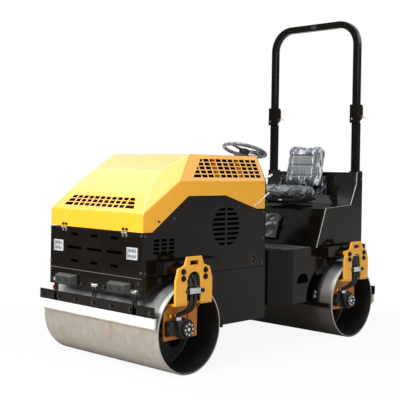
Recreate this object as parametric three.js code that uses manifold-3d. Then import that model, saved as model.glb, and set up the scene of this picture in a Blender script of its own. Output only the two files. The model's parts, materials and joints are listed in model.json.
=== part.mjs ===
// Ride-on tandem road roller with two smooth steel drums, hinged between its front and rear frames.
// Millimetres. +X forwards, +Y to the operator's left, +Z up. The origin is on the ground,
// midway between the two drum axles, on the steering hinge's axis.

import * as THREE from 'three';
import { ConvexGeometry } from 'three/addons/geometries/ConvexGeometry.js';
import { mergeVertices } from 'three/addons/utils/BufferGeometryUtils.js';
import Module from 'manifold-3d';

const wasm = await Module();
wasm.setup();

// ---------------------------------------------------------------- driving dimensions

// Layout: the deck and bumpers end a little past the drums
const wheelbase = 1930;
const drumRadius = 300;
const bodyHalfWidth = 488;
const frontOverhang = drumRadius + 37;
const rearPanelOverhang = 297;
const restGap = 0.3;
const movingGap = 6;
const pinGap = 0.5;

const frontAxleX = wheelbase / 2;
const rearAxleX = -wheelbase / 2;
const frontFace = frontAxleX + frontOverhang;
const rearPanelX = rearAxleX - rearPanelOverhang;

// Drums
const drumWidth = 1200;
const drumShell = 16;
const drumRim = 5;
const webInset = 270;
const webThickness = 20;
const webHoleRadius = 55;
const webHoleCircle = 175;
const axleRadius = 70;
const stubRadius = 36;

// Sheet and plate
const panelThickness = 20;
const plateThickness = 14;
const bulkheadThickness = 10;
const archGap = 35;
const fenderThickness = 10;

// Heights of the body: the deck clears the drums, and the beams lie on the deck
const drumTop = 2 * drumRadius;
const bellyHeight = 262;
const seamHeight = drumTop + archGap + 17;
const seamGap = 3;
const deckTop = seamHeight - seamGap;
const bumperBottom = seamHeight - 121;
const floorHeight = 748;
const stepBottom = 324;
const deckHeight = 1075;
const rearTopHeight = deckHeight + 287;

// Hood, with its places along the machine measured back from the front face
const hoodWall = 18;
const hoodRear = 62;
const hoodFrontBottom = 949;
const creaseFrontHeight = hoodFrontBottom + 120;
const creaseHeight = hoodFrontBottom + 335;
const creaseStartX = frontFace - 336;
const hoodTopHeight = hoodFrontBottom + 521;
const hoodTopHalfWidth = bodyHalfWidth - 91;
const hoodTopFrontX = frontFace - 517;
const slopeBends = [
  [frontFace - 108, hoodFrontBottom + 251],
  [frontFace - 277, hoodFrontBottom + 402],
];
const notchHeight = hoodFrontBottom + 234;
const hoodRearBottom = hoodFrontBottom + 131;
const hoodNotch = [
  [frontFace - 419, notchHeight],
  [frontFace - 799, notchHeight],
  [hoodRear + 92, hoodRearBottom],
];
const hoodSideFront = frontFace - 85;

// Beams that carry the drums
const beamBottom = seamHeight + 22;
const beamTop = beamBottom + 84;
const beamEnd = drumWidth / 2 - 25;
const beamReachInner = 318;
const beamReachOuter = 223;
const beamCutGap = 2;

// Drum brackets: an outer plate with a hose slot and a lifting eye, a shelf and an inner plate
const bracketFace = drumWidth / 2 + 35;
const bracketThickness = 16;
const bracketTop = beamTop + 33;
const bracketHalfWidth = drumRadius - 125;
const bracketTopHalfWidth = 69;
const bracketNeckHalfWidth = 92;
const bracketShoulder = 26;
const bracketNeckHeight = beamTop - 22;
const shoulderHeight = beamTop - 42;
const flankHeight = beamBottom - 34;
const shelfHeight = drumRadius + 187;
const slotHalfWidth = 66;
const slotApex = beamBottom + 17;
const eyeHalfWidth = 45;
const eyeHeights = [beamTop - 23, beamTop + 7];
const innerPlateFace = drumWidth / 2 - 87;
const innerPlateBottom = drumRadius - 72;
const shelfNotch = 60;
const mountRadius = 34;
const mountSpacing = bracketHalfWidth - 57;
const mountHeight = beamBottom + 38;

// Front body details
const ventCentre = [frontAxleX - 471, notchHeight - 221];
const ventRadius = 145;
const ventRows = 8;
const ventPitch = 35;
const ventSlot = 15;
const ventPost = 22;
const lampCentre = [bodyHalfWidth - 97, hoodFrontBottom - 141];
const lampWidth = 112;
const lampHeight = 88;
const lampDepth = 32;
const lampProud = 6;
const slotMargin = 15.5;
const slotPitch = (lampCentre[0] - lampWidth / 2 - slotMargin) * 2 / 3;
const slotHeight = 22;
const frontSlotRows = [
  [hoodFrontBottom - 51, 0.18],
  [hoodFrontBottom - 145, 0.36],
  [seamHeight + 60, 0.18],
];
const bufferHeight = bumperBottom + 47;
const bufferCentre = bodyHalfWidth - 208;
const bufferHalf = 115;
const bufferHalfHeight = 50;
const bufferDepth = 52;
const bufferSlope = 28;
const hoodHingeX = frontFace + 9;
const hoodHingeZ = hoodFrontBottom - 9;
const hoodHingeY = bodyHalfWidth - 168;
const engineEnds = [hoodRear + 258, frontFace - 212];
const engineHalfWidth = 290;
const engineTop = creaseHeight - 134;

// Scrapers
const scraperHeight = bumperBottom - 201;
const scraperBlade = 82;
const scraperBarHeight = 70;
const scraperReach = 32;
const scraperHanger = 420;
const rearScraperDrop = 88;
const innerScraperHeight = drumRadius - 4;

// Drum motors and their hoses
const motorRadius = 68;
const motorLength = 60;
const motorCapRadius = 55;
const motorCapLength = 20;
const portReach = 62;
const hoseRadius = 13;
const hoseSpacing = 20;
const clampHeights = [shelfHeight + 59, shelfHeight + 95];

// Steering hinge and its cylinder
const steeringLimit = 25;
const tongueRadius = 38;
const chamferInner = bodyHalfWidth - 258;
const chamferOuter = bodyHalfWidth - 114;
const stepSideFront = -300;
const hingePlate = 26;
const hingeLowerHeight = 352;
const hingeUpperHeight = 588;
const hingePinRadius = 25;
const hingeEyeRadius = 54;
const cylinderHeight = 293;
const cylinderBase = [-345, -195];
const cylinderPin = [0, -130];
const cylinderRestSwing = 1.1;
const barrelRadius = 26;
const barrelLength = 225;
const rodRadius = 10;
const rodInside = 60;
const eyeRadius = 25;
const eyeHoleRadius = 16;
const eyePinRadius = 8;
const eyeThickness = 22;
const earThickness = 10;
const earGap = 1;

// Rear body's sheets, which start behind the floor's edge
const rearSheetFront = rearAxleX + 343;

// Step box at the operator's feet, with its rear edge cut to an arch over the drum
const stepBoxBack = rearAxleX + 325;
const stepArchCentre = [rearAxleX + 196, drumRadius + 32];
const stepArchRadius = 291;
const stepHoleX = rearAxleX + 537;
const stepHoleHeight = 480;
const stepHoleRadius = 76;
const stepSideDepth = 120;
const matThickness = 6;
const matMargin = 40;

// Roll-over hoop
const hoopX = rearAxleX - 248;
const hoopHalfWidth = bodyHalfWidth - 13;
const hoopTop = 2677;
const hoopTubeY = 60;
const hoopTubeX = 50;
const hoopBend = 215;
const foldPinHeight = 1828;
const foldPinRadius = 9;
const foldPostTop = foldPinHeight - 29;
const foldCheek = 8;
const foldTop = foldPinHeight + 115;
const foldSideGap = 3;
const foldBack = 42;
const foldCorner = 28;
const foldChamfer = 40;
const foldHeel = 14;
const collarBottom = foldPostTop - 14;

// Operator's place
const seatCentreX = rearAxleX + 125;
const seatWidth = 440;
const cushionLength = 405;
const cushionHeight = 89;
const cushionBottom = deckHeight + 64;
const cushionCorner = 60;
const backHeight = 382;
const backThickness = 105;
const backInset = 40;
const backLean = 9;
const seatBaseEnds = [seatCentreX - 170, seatCentreX + 150];
const seatBaseHalfWidth = 150;
const wheelRadius = 184;
const wheelRimRadius = 13;
const wheelTilt = 17;
const wheelHub = [rearAxleX + 699, 0, floorHeight + 777];
const hubRadius = 38;
const spokeHalfWidth = 13;
const columnRadius = 32;
const consoleTop = floorHeight + 492;
const consoleHalfWidth = 115;
const columnSlant = Math.tan(wheelTilt * Math.PI / 180);
const consoleFootX = wheelHub[0] + (wheelHub[2] - floorHeight) * columnSlant;
const leverRadius = 6;

// ---------------------------------------------------------------- materials

const paint = (color, roughness, metalness = 0) => () =>
  new THREE.MeshStandardMaterial({ color, roughness, metalness });
const black = paint(0x1b1a1a, 0.25);
const yellow = paint(0xf2a81d, 0.35);
const steel = paint(0xa9a49a, 0.4, 0.9);
const bright = paint(0xd0d0d0, 0.15, 1);
const rubber = paint(0x141414, 0.7);
const darkGrey = paint(0x3a3a3c, 0.5);
const vinyl = paint(0x4a4b4e, 0.45);
const lamp = paint(0xf2f4f5, 0.2);
const iron = paint(0x242424, 0.55, 0.4);

// ---------------------------------------------------------------- solids

// A closed three.js geometry as a manifold solid.
function solid(geometry) {
  geometry.deleteAttribute('normal');
  geometry.deleteAttribute('uv');
  const merged = mergeVertices(geometry, 1e-3);
  return new wasm.Manifold(new wasm.Mesh({
    numProp: 3,
    vertProperties: new Float32Array(merged.attributes.position.array),
    triVerts: new Uint32Array(merged.index.array),
  }));
}

const join = (...pieces) => pieces.reduce((whole, piece) => whole.add(piece));
const cut = (base, ...tools) => tools.reduce((whole, tool) => whole.subtract(tool), base);

// A box between two values on each axis, given in either order.
function block([x0, x1], [y0, y1], [z0, z1]) {
  const size = [Math.abs(x1 - x0), Math.abs(y1 - y0), Math.abs(z1 - z0)];
  const geometry = new THREE.BoxGeometry(...size);
  geometry.translate((x0 + x1) / 2, (y0 + y1) / 2, (z0 + z1) / 2);
  return solid(geometry);
}

const planes = {
  side: new THREE.Matrix4().makeBasis(
    new THREE.Vector3(1, 0, 0), new THREE.Vector3(0, 0, 1), new THREE.Vector3(0, -1, 0)),
  front: new THREE.Matrix4().makeBasis(
    new THREE.Vector3(0, 1, 0), new THREE.Vector3(0, 0, 1), new THREE.Vector3(1, 0, 0)),
  plan: new THREE.Matrix4(),
};

// A shape pushed along the axis square to its plane: side is XZ, front is YZ and plan is XY.
function push(shape, plane, from, to, curveSegments = 12) {
  const low = Math.min(from, to);
  const high = Math.max(from, to);
  const geometry = new THREE.ExtrudeGeometry(shape,
    { depth: high - low, bevelEnabled: false, curveSegments });
  geometry.applyMatrix4(planes[plane]);
  const start = plane === 'side' ? [0, high, 0] : plane === 'front' ? [low, 0, 0] : [0, 0, low];
  geometry.translate(...start);
  return solid(geometry);
}

const outline = (points) => new THREE.Shape(points.map(([u, v]) => new THREE.Vector2(u, v)));
const slab = (points, plane, from, to) => push(outline(points), plane, from, to);

// A round bar between two points.
function bar(from, to, radius, segments = 24) {
  const start = new THREE.Vector3(...from);
  const along = new THREE.Vector3(...to).sub(start);
  const geometry = new THREE.CylinderGeometry(radius, radius, along.length(), segments);
  geometry.translate(0, along.length() / 2, 0);
  const turn = new THREE.Quaternion().setFromUnitVectors(
    new THREE.Vector3(0, 1, 0), along.clone().normalize());
  geometry.applyQuaternion(turn);
  geometry.translate(...from);
  return solid(geometry);
}

// A round hose along a smooth curve through the points.
function hose(points, radius, steps = 26) {
  const curve = new THREE.CatmullRomCurve3(points.map((point) => new THREE.Vector3(...point)));
  const section = new THREE.Shape();
  section.absarc(0, 0, radius, 0, 2 * Math.PI);
  return solid(new THREE.ExtrudeGeometry(section,
    { steps, extrudePath: curve, bevelEnabled: false, curveSegments: 5 }));
}

// A closed profile of radius and height turned about the Y axis.
function turned(profile, segments) {
  const points = profile.map(([radius, along]) => new THREE.Vector2(radius, along));
  return solid(new THREE.LatheGeometry(points, segments));
}

function mesh(name, manifold, material) {
  const { vertProperties, triVerts } = manifold.getMesh();
  const geometry = new THREE.BufferGeometry();
  geometry.setAttribute('position', new THREE.BufferAttribute(new Float32Array(vertProperties), 3));
  geometry.setIndex(new THREE.BufferAttribute(new Uint32Array(triVerts), 1));
  geometry.computeVertexNormals();
  const piece = new THREE.Mesh(geometry, material());
  piece.name = name;
  return piece;
}

// Each side of the machine: its name and the sign of Y there.
const sides = [['left', 1], ['right', -1]];
const span = (half) => [-half, half];

// ---------------------------------------------------------------- drum unit

const archRadius = drumRadius + archGap;
const webFace = drumWidth / 2 - webInset;

// A hollow drum about the Y axis, centred on the origin: shell, two pierced webs and an axle.
function drum() {
  const half = drumWidth / 2;
  const inner = drumRadius - drumShell;
  const stubEnd = innerPlateFace - bracketThickness / 2;
  const bevel = drumRadius - drumRim;
  const shell = turned([
    [bevel, -half], [drumRadius, -half + drumRim], [drumRadius, half - drumRim],
    [bevel, half], [inner, half], [inner, -half], [bevel, -half],
  ], 72);
  const webs = [1, -1].map((sign) => {
    const disc = bar([0, sign * (webFace - webThickness), 0], [0, sign * webFace, 0], inner + 2, 72);
    const holes = [0, 1, 2, 3].map((turn) => {
      const angle = (turn + 0.5) * Math.PI / 2;
      const x = webHoleCircle * Math.cos(angle);
      const z = webHoleCircle * Math.sin(angle);
      return bar([x, -half, z], [x, half, z], webHoleRadius, 20);
    });
    return cut(disc, ...holes);
  });
  return join(shell, ...webs,
    bar([0, -webFace, 0], [0, webFace, 0], axleRadius, 32),
    bar([0, -stubEnd, 0], [0, stubEnd, 0], stubRadius, 32));
}

// The outer plate of a bracket, narrowed at its top round the lifting eye.
function bracketPlate() {
  const half = bracketHalfWidth;
  const edge = [
    [half, shelfHeight], [half, flankHeight], [half - bracketShoulder, shoulderHeight],
    [bracketNeckHalfWidth, bracketNeckHeight], [bracketTopHalfWidth, bracketTop],
  ];
  const plate = new THREE.Shape();
  plate.moveTo(-half, shelfHeight);
  plate.lineTo(-slotHalfWidth, shelfHeight);
  plate.lineTo(-slotHalfWidth, slotApex - slotHalfWidth);
  plate.absarc(0, slotApex - slotHalfWidth, slotHalfWidth, Math.PI, 0, true);
  plate.lineTo(slotHalfWidth, shelfHeight);
  edge.forEach(([x, z]) => plate.lineTo(x, z));
  edge.slice(1).reverse().forEach(([x, z]) => plate.lineTo(-x, z));
  plate.closePath();
  const [low, high] = eyeHeights;
  plate.holes.push(new THREE.Path([
    new THREE.Vector2(-eyeHalfWidth, low), new THREE.Vector2(eyeHalfWidth, low),
    new THREE.Vector2(eyeHalfWidth - 5, high), new THREE.Vector2(-eyeHalfWidth + 5, high),
  ]));
  return plate;
}

// The yellow bracket that steps in over the rim and carries the drum's motor, at one side.
function bracket(axleX, sign) {
  const half = bracketHalfWidth;
  const inside = sign * (innerPlateFace - bracketThickness);
  const outside = sign * bracketFace;
  const outer = push(bracketPlate(), 'side', sign * (bracketFace - bracketThickness), outside);
  const shelf = cut(
    block(span(half), [inside, outside], [shelfHeight - bracketThickness, shelfHeight]),
    block(span(slotHalfWidth), [sign * (bracketFace - shelfNotch), outside + sign * 5],
      [shelfHeight - 100, shelfHeight + 5]));
  const inner = cut(
    block(span(half - 15), [inside, sign * innerPlateFace], [innerPlateBottom, shelfHeight]),
    bar([0, inside - sign * 50, drumRadius], [0, outside, drumRadius], stubRadius + pinGap, 32));
  const mounts = [-1, 1].map((end) => bar(
    [end * mountSpacing, sign * (beamEnd + restGap), mountHeight],
    [end * mountSpacing, sign * (bracketFace - 2), mountHeight], mountRadius, 20));
  return join(outer, shelf, inner, ...mounts).translate([axleX, 0, 0]);
}

// Motor flanged to the outside of the bracket's inner plate, with its port block on top.
function motor(axleX, sign) {
  const start = innerPlateFace + restGap;
  const end = start + motorLength;
  return join(
    bar([axleX, sign * start, drumRadius], [axleX, sign * end, drumRadius], motorRadius, 32),
    bar([axleX, sign * start, drumRadius], [axleX, sign * (end + motorCapLength), drumRadius],
      motorCapRadius, 32),
    block([axleX + 30, axleX + 82], [sign * (start + 4), sign * (end - 4)],
      [drumRadius + 20, drumRadius + portReach]));
}

// Two hoses from the beam's end, through the bracket's slot and in to the motor's ports,
// held together by a clamp across the slot.
function hoses(axleX, sign) {
  const slotY = bracketFace - hoseRadius;
  const portY = innerPlateFace + motorLength / 2 + 2;
  const top = slotApex - 36;
  const runs = [-hoseSpacing, hoseSpacing].map((offset) => {
    const x = axleX + offset;
    const portX = axleX + 56 + offset / 2;
    return hose([
      [x, sign * (beamEnd + restGap), top],
      [x, sign * (beamEnd + 12), top],
      [x, sign * slotY, top - 27],
      [x, sign * slotY, (top + shelfHeight) / 2 - 11],
      [x, sign * slotY, shelfHeight - 12],
      [x + 14, sign * (slotY - 16), shelfHeight - 49],
      [x + 30, sign * (slotY - 50), shelfHeight - 71],
      [portX, sign * (portY + 6), drumRadius + portReach + 36],
      [portX, sign * portY, drumRadius + portReach + 16],
      [portX, sign * portY, drumRadius + portReach + restGap],
    ], hoseRadius);
  });
  const strapOut = sign * (bracketFace + 5);
  const clamp = join(
    block([axleX - 82, axleX + 82], [sign * (bracketFace + restGap), strapOut], clampHeights),
    block([axleX - 40, axleX + 40], [sign * (slotY - hoseRadius), strapOut], clampHeights));
  return join(clamp, ...runs);
}

// A scraper blade and its angle bar at the drum's end of the machine, hung from the bumper,
// lower at the rear.
function endScraper(axleX, facing) {
  const x = (reach) => axleX + facing * (drumRadius + movingGap + reach);
  const bladeBottom = scraperHeight - (facing < 0 ? rearScraperDrop : 0);
  const bladeTop = bladeBottom + scraperBlade;
  const barTop = bladeTop + scraperBarHeight - 2;
  const flange = [x(scraperReach - 10), x(scraperReach)];
  return join(
    block([x(0), x(8)], span(drumWidth / 2 - 4), [bladeBottom, bladeTop]),
    block([x(0), x(scraperReach)], span(drumWidth / 2 + 6), [bladeTop - 2, bladeTop + 8]),
    block(flange, span(drumWidth / 2 + 6), [bladeTop - 2, barTop]),
    ...sides.map(([, sign]) => block(flange,
      [sign * (scraperHanger - 20), sign * (scraperHanger + 20)], [bladeTop, bumperBottom - restGap])));
}

// A scraper blade across the inner face of the drum, carried by an angle bar along the fender.
function innerScraper(axleX, facing) {
  const x = (reach) => axleX - facing * (drumRadius + reach);
  const face = archGap - 3;
  return join(
    block([x(movingGap), x(face)], span(drumWidth / 2 - 4),
      [innerScraperHeight, innerScraperHeight + 10]),
    block([x(face - 9), x(face)], span(drumWidth / 2 - 4),
      [innerScraperHeight - 22, innerScraperHeight + 8]));
}

// ---------------------------------------------------------------- frames

// The beam across the frame, with its ends over the drum, on a riser from the deck.
function drumBeam(axleX, facing) {
  const inner = axleX - facing * beamReachInner;
  const outer = axleX + facing * beamReachOuter;
  return join(
    block([inner, outer], span(beamEnd), [beamBottom, beamTop]),
    block([inner, outer], span(bodyHalfWidth - panelThickness - movingGap), [deckTop - 5, beamBottom + 5]));
}

const beyond = 2 * bodyHalfWidth;
const arch = (axleX) => bar([axleX, -beyond, drumRadius], [axleX, beyond, drumRadius], archRadius, 64);
const hingeAt = (z) => [0, 0, z];
const wallBack = hoodRear - movingGap - bulkheadThickness;

// Front frame: tank and pump housing behind the drum, deck over it, beam, rear wall and hinge lugs.
function frontChassis() {
  const front = frontFace - plateThickness;
  const profile = [
    [wallBack, bellyHeight], [frontAxleX, bellyHeight], [frontAxleX, bumperBottom],
    [front, bumperBottom], [front, deckTop], [wallBack, deckTop],
  ];
  const hull = cut(slab(profile, 'side', ...span(bodyHalfWidth)), arch(frontAxleX));
  const half = bodyHalfWidth - 4;
  const topHalf = hoodTopHalfWidth - 6;
  const wall = slab([
    [-half, bellyHeight], [half, bellyHeight], [half, creaseHeight - 4], [topHalf, hoodTopHeight - 6],
    [-topHalf, hoodTopHeight - 6], [-half, creaseHeight - 4],
  ], 'front', wallBack, wallBack + bulkheadThickness);
  const lugs = [hingeLowerHeight, hingeUpperHeight].map((height) => cut(
    join(
      block([0, wallBack + 5], span(hingeEyeRadius), [height - hingePlate / 2, height + hingePlate / 2]),
      bar(hingeAt(height - hingePlate / 2), hingeAt(height + hingePlate / 2), hingeEyeRadius, 40)),
    bar(hingeAt(height - hingePlate), hingeAt(height + hingePlate), hingePinRadius + pinGap, 32)));
  return join(hull, drumBeam(frontAxleX, 1), wall, ...lugs, cylinderLug(wallBack + 5));
}

// Two ears on the front frame round the rod's eye, with the pin through them. The eye's hole is
// wide, because the eye drifts round the pin as the frames turn.
function cylinderLug(rootX) {
  const [x, y] = cylinderPin;
  const inner = eyeThickness / 2 + earGap;
  const ears = [-1, 1].map((sign) => {
    const z = [cylinderHeight + sign * inner, cylinderHeight + sign * (inner + earThickness)];
    return join(block([rootX, x], [y - eyeRadius, y + eyeRadius], z),
      bar([x, y, z[0]], [x, y, z[1]], eyeRadius, 24));
  });
  const end = inner + earThickness + 5;
  return join(...ears, bar([x, y, cylinderHeight - end], [x, y, cylinderHeight + end], eyePinRadius, 20));
}

// The foremost X at a distance Y from the middle that the rear frame can have,
// with the front frame's rear wall turned to its steering limit.
function clearOfFront(y) {
  const limit = steeringLimit * Math.PI / 180;
  return (wallBack - movingGap - 2 - y * Math.sin(limit)) / Math.cos(limit);
}

// The step box's front face, which clears the front frame's wall and its hinge lugs.
const stepBoxFront = Math.min(clearOfFront(chamferInner), -hingeEyeRadius - movingGap);

// The step box under the operator's feet, narrowed towards the hinge, with its rear edge arched.
function stepBox() {
  const corners = [
    [stepBoxFront, chamferInner], [clearOfFront(chamferOuter), chamferOuter],
    [stepSideFront, bodyHalfWidth], [stepBoxBack, bodyHalfWidth],
  ];
  const plan = [...corners, ...corners.map(([x, y]) => [x, -y]).reverse()];
  const [archX, archZ] = stepArchCentre;
  return cut(slab(plan, 'plan', stepBottom, floorHeight),
    bar([archX, -beyond, archZ], [archX, beyond, archZ], stepArchRadius, 64));
}

// Where the rear deck runs forward between the step box's sides.
const deckFront = stepBoxBack + 40;

// One side of the step box, with a half-round toe hole through it.
function stepSide(sign) {
  const face = bodyHalfWidth - stepSideDepth + restGap;
  const hole = new THREE.Shape();
  hole.moveTo(stepHoleX - stepHoleRadius, stepHoleHeight);
  hole.lineTo(stepHoleX + stepHoleRadius, stepHoleHeight);
  hole.absarc(stepHoleX, stepHoleHeight, stepHoleRadius, 0, Math.PI, false);
  return cut(stepBox(),
    block([rearAxleX, beyond], [sign * face, -sign * beyond], [0, 2 * floorHeight]),
    block([rearAxleX, deckFront + restGap], span(beyond), [0, deckTop + restGap]),
    push(hole, 'side', sign * (face - 5), sign * (bodyHalfWidth + 5)));
}

// Rubber mat on the floor between the seat box and the console.
function floorMat() {
  const front = consoleFootX - 185 - matMargin / 2;
  return block([rearSheetFront + matMargin, front], span(bodyHalfWidth - matMargin),
    [floorHeight + restGap, floorHeight + restGap + matThickness]);
}

// A thin shell round the front of the drum, down to the scraper.
function fender(axleX) {
  const outer = archRadius + fenderThickness;
  const around = bar([axleX, -bodyHalfWidth, drumRadius], [axleX, bodyHalfWidth, drumRadius], outer, 64);
  return cut(around,
    block([axleX - 2 * outer, axleX], span(beyond), [-outer, 3 * outer]),
    block([axleX - 2 * outer, axleX + 2 * outer], span(beyond), [-outer, innerScraperHeight]));
}

// The tongue and pin between the front frame's hinge lugs.
function hingeTongue() {
  const top = hingeUpperHeight - hingePlate / 2 - movingGap;
  const bottom = hingeLowerHeight + hingePlate / 2 + movingGap;
  return join(
    block([stepBoxFront - 10, 0], span(tongueRadius), [bottom, top]),
    bar(hingeAt(bottom), hingeAt(top), tongueRadius, 40),
    bar(hingeAt(hingeLowerHeight - hingePlate), hingeAt(hingeUpperHeight + hingePlate),
      hingePinRadius, 32));
}

// Rear frame: the step box's core, deck over the drum, fender round the drum's front, beam and hinge tongue.
function rearChassis() {
  const back = rearAxleX - frontOverhang + plateThickness;
  const core = stepBox().intersect(block([rearAxleX, beyond],
    span(bodyHalfWidth - stepSideDepth), [0, 2 * floorHeight]));
  const deck = block([deckFront, back], span(bodyHalfWidth), [bumperBottom, deckTop]);
  const body = cut(join(core, deck, fender(rearAxleX)), arch(rearAxleX));
  return join(body, drumBeam(rearAxleX, -1), hingeTongue(), cylinderAnchor());
}

// The steering cylinder's anchor under the step box.
function cylinderAnchor() {
  const [x, y] = cylinderBase;
  const low = cylinderHeight + eyeThickness / 2 + earGap;
  return join(
    block([x - eyeRadius, x + eyeRadius], [y - eyeRadius, y + eyeRadius], [low, stepBottom + 5]),
    bar([x, y, cylinderHeight - eyeThickness / 2 - 6], [x, y, low + 5], eyePinRadius, 20));
}

// ---------------------------------------------------------------- front body

const hoodEdge = [
  [frontFace, hoodFrontBottom], [hoodSideFront, hoodFrontBottom], ...hoodNotch, [hoodRear, hoodRearBottom],
];

// Half width of the hood's sloped corner facet, which is flat between its three outer corners.
function facetHalfWidth(x, z) {
  const corner = new THREE.Vector3(frontFace, bodyHalfWidth, creaseFrontHeight);
  const normal = new THREE.Vector3(creaseStartX, bodyHalfWidth, creaseHeight).sub(corner).cross(
    new THREE.Vector3(hoodTopFrontX, hoodTopHalfWidth, hoodTopHeight).sub(corner));
  return corner.y - (normal.x * (x - corner.x) + normal.z * (z - corner.z)) / normal.y;
}

// The hood's outer form, drawn in by a wall's thickness for its inside.
function hoodForm(wall) {
  const below = hoodFrontBottom - 249;
  const corners = [
    [frontFace - wall, bodyHalfWidth - wall, below],
    [hoodRear, bodyHalfWidth - wall, below],
    [frontFace - wall, bodyHalfWidth - wall, creaseFrontHeight - wall / 2],
    [creaseStartX, bodyHalfWidth - wall, creaseHeight - wall / 2],
    [hoodRear, bodyHalfWidth - wall, creaseHeight - wall / 2],
    ...slopeBends.map(([x, z]) => [x - wall / 2, facetHalfWidth(x, z) - wall / 2, z - wall]),
    [hoodTopFrontX - wall / 2, hoodTopHalfWidth - wall / 2, hoodTopHeight - wall],
    [hoodRear, hoodTopHalfWidth - wall / 2, hoodTopHeight - wall],
  ];
  const points = corners.flatMap(([x, y, z]) => sides.map(([, sign]) => new THREE.Vector3(x, sign * y, z)));
  return solid(new ConvexGeometry(points));
}

// The hood: a shell open below and behind, its lower edge stepped along the sides.
function hood() {
  const inside = hoodForm(hoodWall).add(hoodForm(hoodWall).translate([-60, 0, 0]));
  const below = slab([
    ...hoodEdge.map(([x, z]) => [x === frontFace ? x + 100 : x === hoodRear ? x - 100 : x, z]),
    [hoodRear - 100, seamHeight], [frontFace + 100, seamHeight],
  ], 'side', ...span(beyond));
  return cut(hoodForm(0), inside, below);
}

// A cut-out round the beam's end in a side panel, open at the panel's lower edge.
function beamCutOut(axleX, facing, sign) {
  const inner = axleX - facing * (beamReachInner + beamCutGap);
  const outer = axleX + facing * (beamReachOuter + beamCutGap);
  return block([inner, outer], [sign * (bodyHalfWidth - 2 * panelThickness), sign * beyond],
    [seamHeight - 10, beamTop + beamCutGap]);
}

// The rows of short slots that make up the round vent, each split by the post up its middle.
function ventSlots(sign) {
  const [x, z] = ventCentre;
  const depth = [sign * (bodyHalfWidth - 2 * panelThickness), sign * beyond];
  const slots = [];
  for (let row = 0; row < ventRows; row += 1) {
    const height = (row - (ventRows - 1) / 2) * ventPitch;
    const half = Math.sqrt(ventRadius ** 2 - height ** 2);
    const rise = [z + height - ventSlot / 2, z + height + ventSlot / 2];
    slots.push(
      block([x - half, x - ventPost / 2], depth, rise),
      block([x + ventPost / 2, x + half], depth, rise));
  }
  return slots;
}

// One glossy side panel of the front body, up to the hood's lower edge.
function frontSidePanel(sign) {
  const top = hoodEdge.map(([x, z]) => [x, z - movingGap]);
  const sheet = slab([[frontFace, seamHeight], ...top, [hoodRear, seamHeight]], 'side',
    sign * (bodyHalfWidth - panelThickness), sign * bodyHalfWidth);
  return cut(sheet, beamCutOut(frontAxleX, 1, sign), ...ventSlots(sign));
}

const lampSpan = (sign, gap) => [
  sign * (lampCentre[0] - lampWidth / 2 - gap), sign * (lampCentre[0] + lampWidth / 2 + gap)];
const lampRise = (gap) => [lampCentre[1] - lampHeight / 2 - gap, lampCentre[1] + lampHeight / 2 + gap];

// The slotted panel under the hood's front edge, with an oblong hole for each lamp.
function frontPanel() {
  const sheet = block([frontFace - panelThickness, frontFace],
    span(bodyHalfWidth - panelThickness - restGap), [seamHeight, hoodFrontBottom - movingGap]);
  const through = [frontFace - 2 * panelThickness, frontFace + panelThickness];
  const lampHoles = sides.map(([, sign]) => block(through, lampSpan(sign, restGap), lampRise(restGap)));
  const slots = [];
  for (const [height, share] of frontSlotRows) {
    for (const column of [-1, 0, 1]) {
      const y = column * slotPitch;
      slots.push(block(through, [y - share * slotPitch, y + share * slotPitch],
        [height - slotHeight / 2, height + slotHeight / 2]));
    }
  }
  return cut(sheet, ...lampHoles, ...slots);
}

const headlight = (sign) => block([frontFace + lampProud - lampDepth, frontFace + lampProud],
  lampSpan(sign, 0), lampRise(0));

// The plate across the frame's end below the seam.
function bumper(facing) {
  const x = facing * (frontFace - plateThickness);
  return block([x + facing * restGap, x + facing * plateThickness], span(bodyHalfWidth),
    [bumperBottom, deckTop]);
}

// A buffer block with sloped flanks, on the bumper plate.
function buffer(facing, sign) {
  const base = facing * (frontFace + restGap);
  const tip = facing * (frontFace + bufferDepth);
  const ends = [
    [base, bufferHalf, bufferHalfHeight],
    [tip, bufferHalf - bufferSlope, bufferHalfHeight - bufferSlope * 0.6],
  ];
  const corners = ends.flatMap(([x, half, halfHeight]) =>
    [-1, 1].flatMap((across) => [-1, 1].map((up) => new THREE.Vector3(
      x, sign * bufferCentre + across * half, bufferHeight + up * halfHeight))));
  return solid(new ConvexGeometry(corners));
}

// A bright hinge knuckle under the hood's front edge, on its leaf.
function hoodHinge(sign) {
  const across = (half) => [sign * hoodHingeY - half, sign * hoodHingeY + half];
  const [from, to] = across(28);
  return join(
    bar([hoodHingeX, from, hoodHingeZ], [hoodHingeX, to, hoodHingeZ], 7, 16),
    block([frontFace + restGap, frontFace + 6], across(22), [hoodHingeZ - 34, hoodHingeZ]));
}

// The engine, pumps and cooler as one block on the beam.
const engine = () => block(engineEnds, span(engineHalfWidth), [beamTop + 10, engineTop]);

// ---------------------------------------------------------------- rear body

// The upper edge of the rear body from the floor, up the front, along the deck and up the raised back.
const seatBoxSide = [
  [rearAxleX + 353, floorHeight + restGap], [rearAxleX + 231, deckHeight - 12],
  [rearAxleX - 126, deckHeight + 8], [rearAxleX - 207, rearTopHeight - 109],
  [rearAxleX - 221, rearTopHeight], [rearPanelX, rearTopHeight],
];
// One side panel of the rear body, set over the step box's top.
function rearSidePanel(sign) {
  const sheet = slab([[rearSheetFront, seamHeight], ...seatBoxSide, [rearPanelX, seamHeight]], 'side',
    sign * (bodyHalfWidth - panelThickness), sign * bodyHalfWidth);
  const stepTop = block([rearSheetFront - 28, rearSheetFront + 40],
    [sign * (bodyHalfWidth - 2 * panelThickness), sign * beyond],
    [seamHeight - 10, floorHeight + restGap]);
  return cut(sheet, beamCutOut(rearAxleX, -1, sign), stepTop);
}

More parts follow.
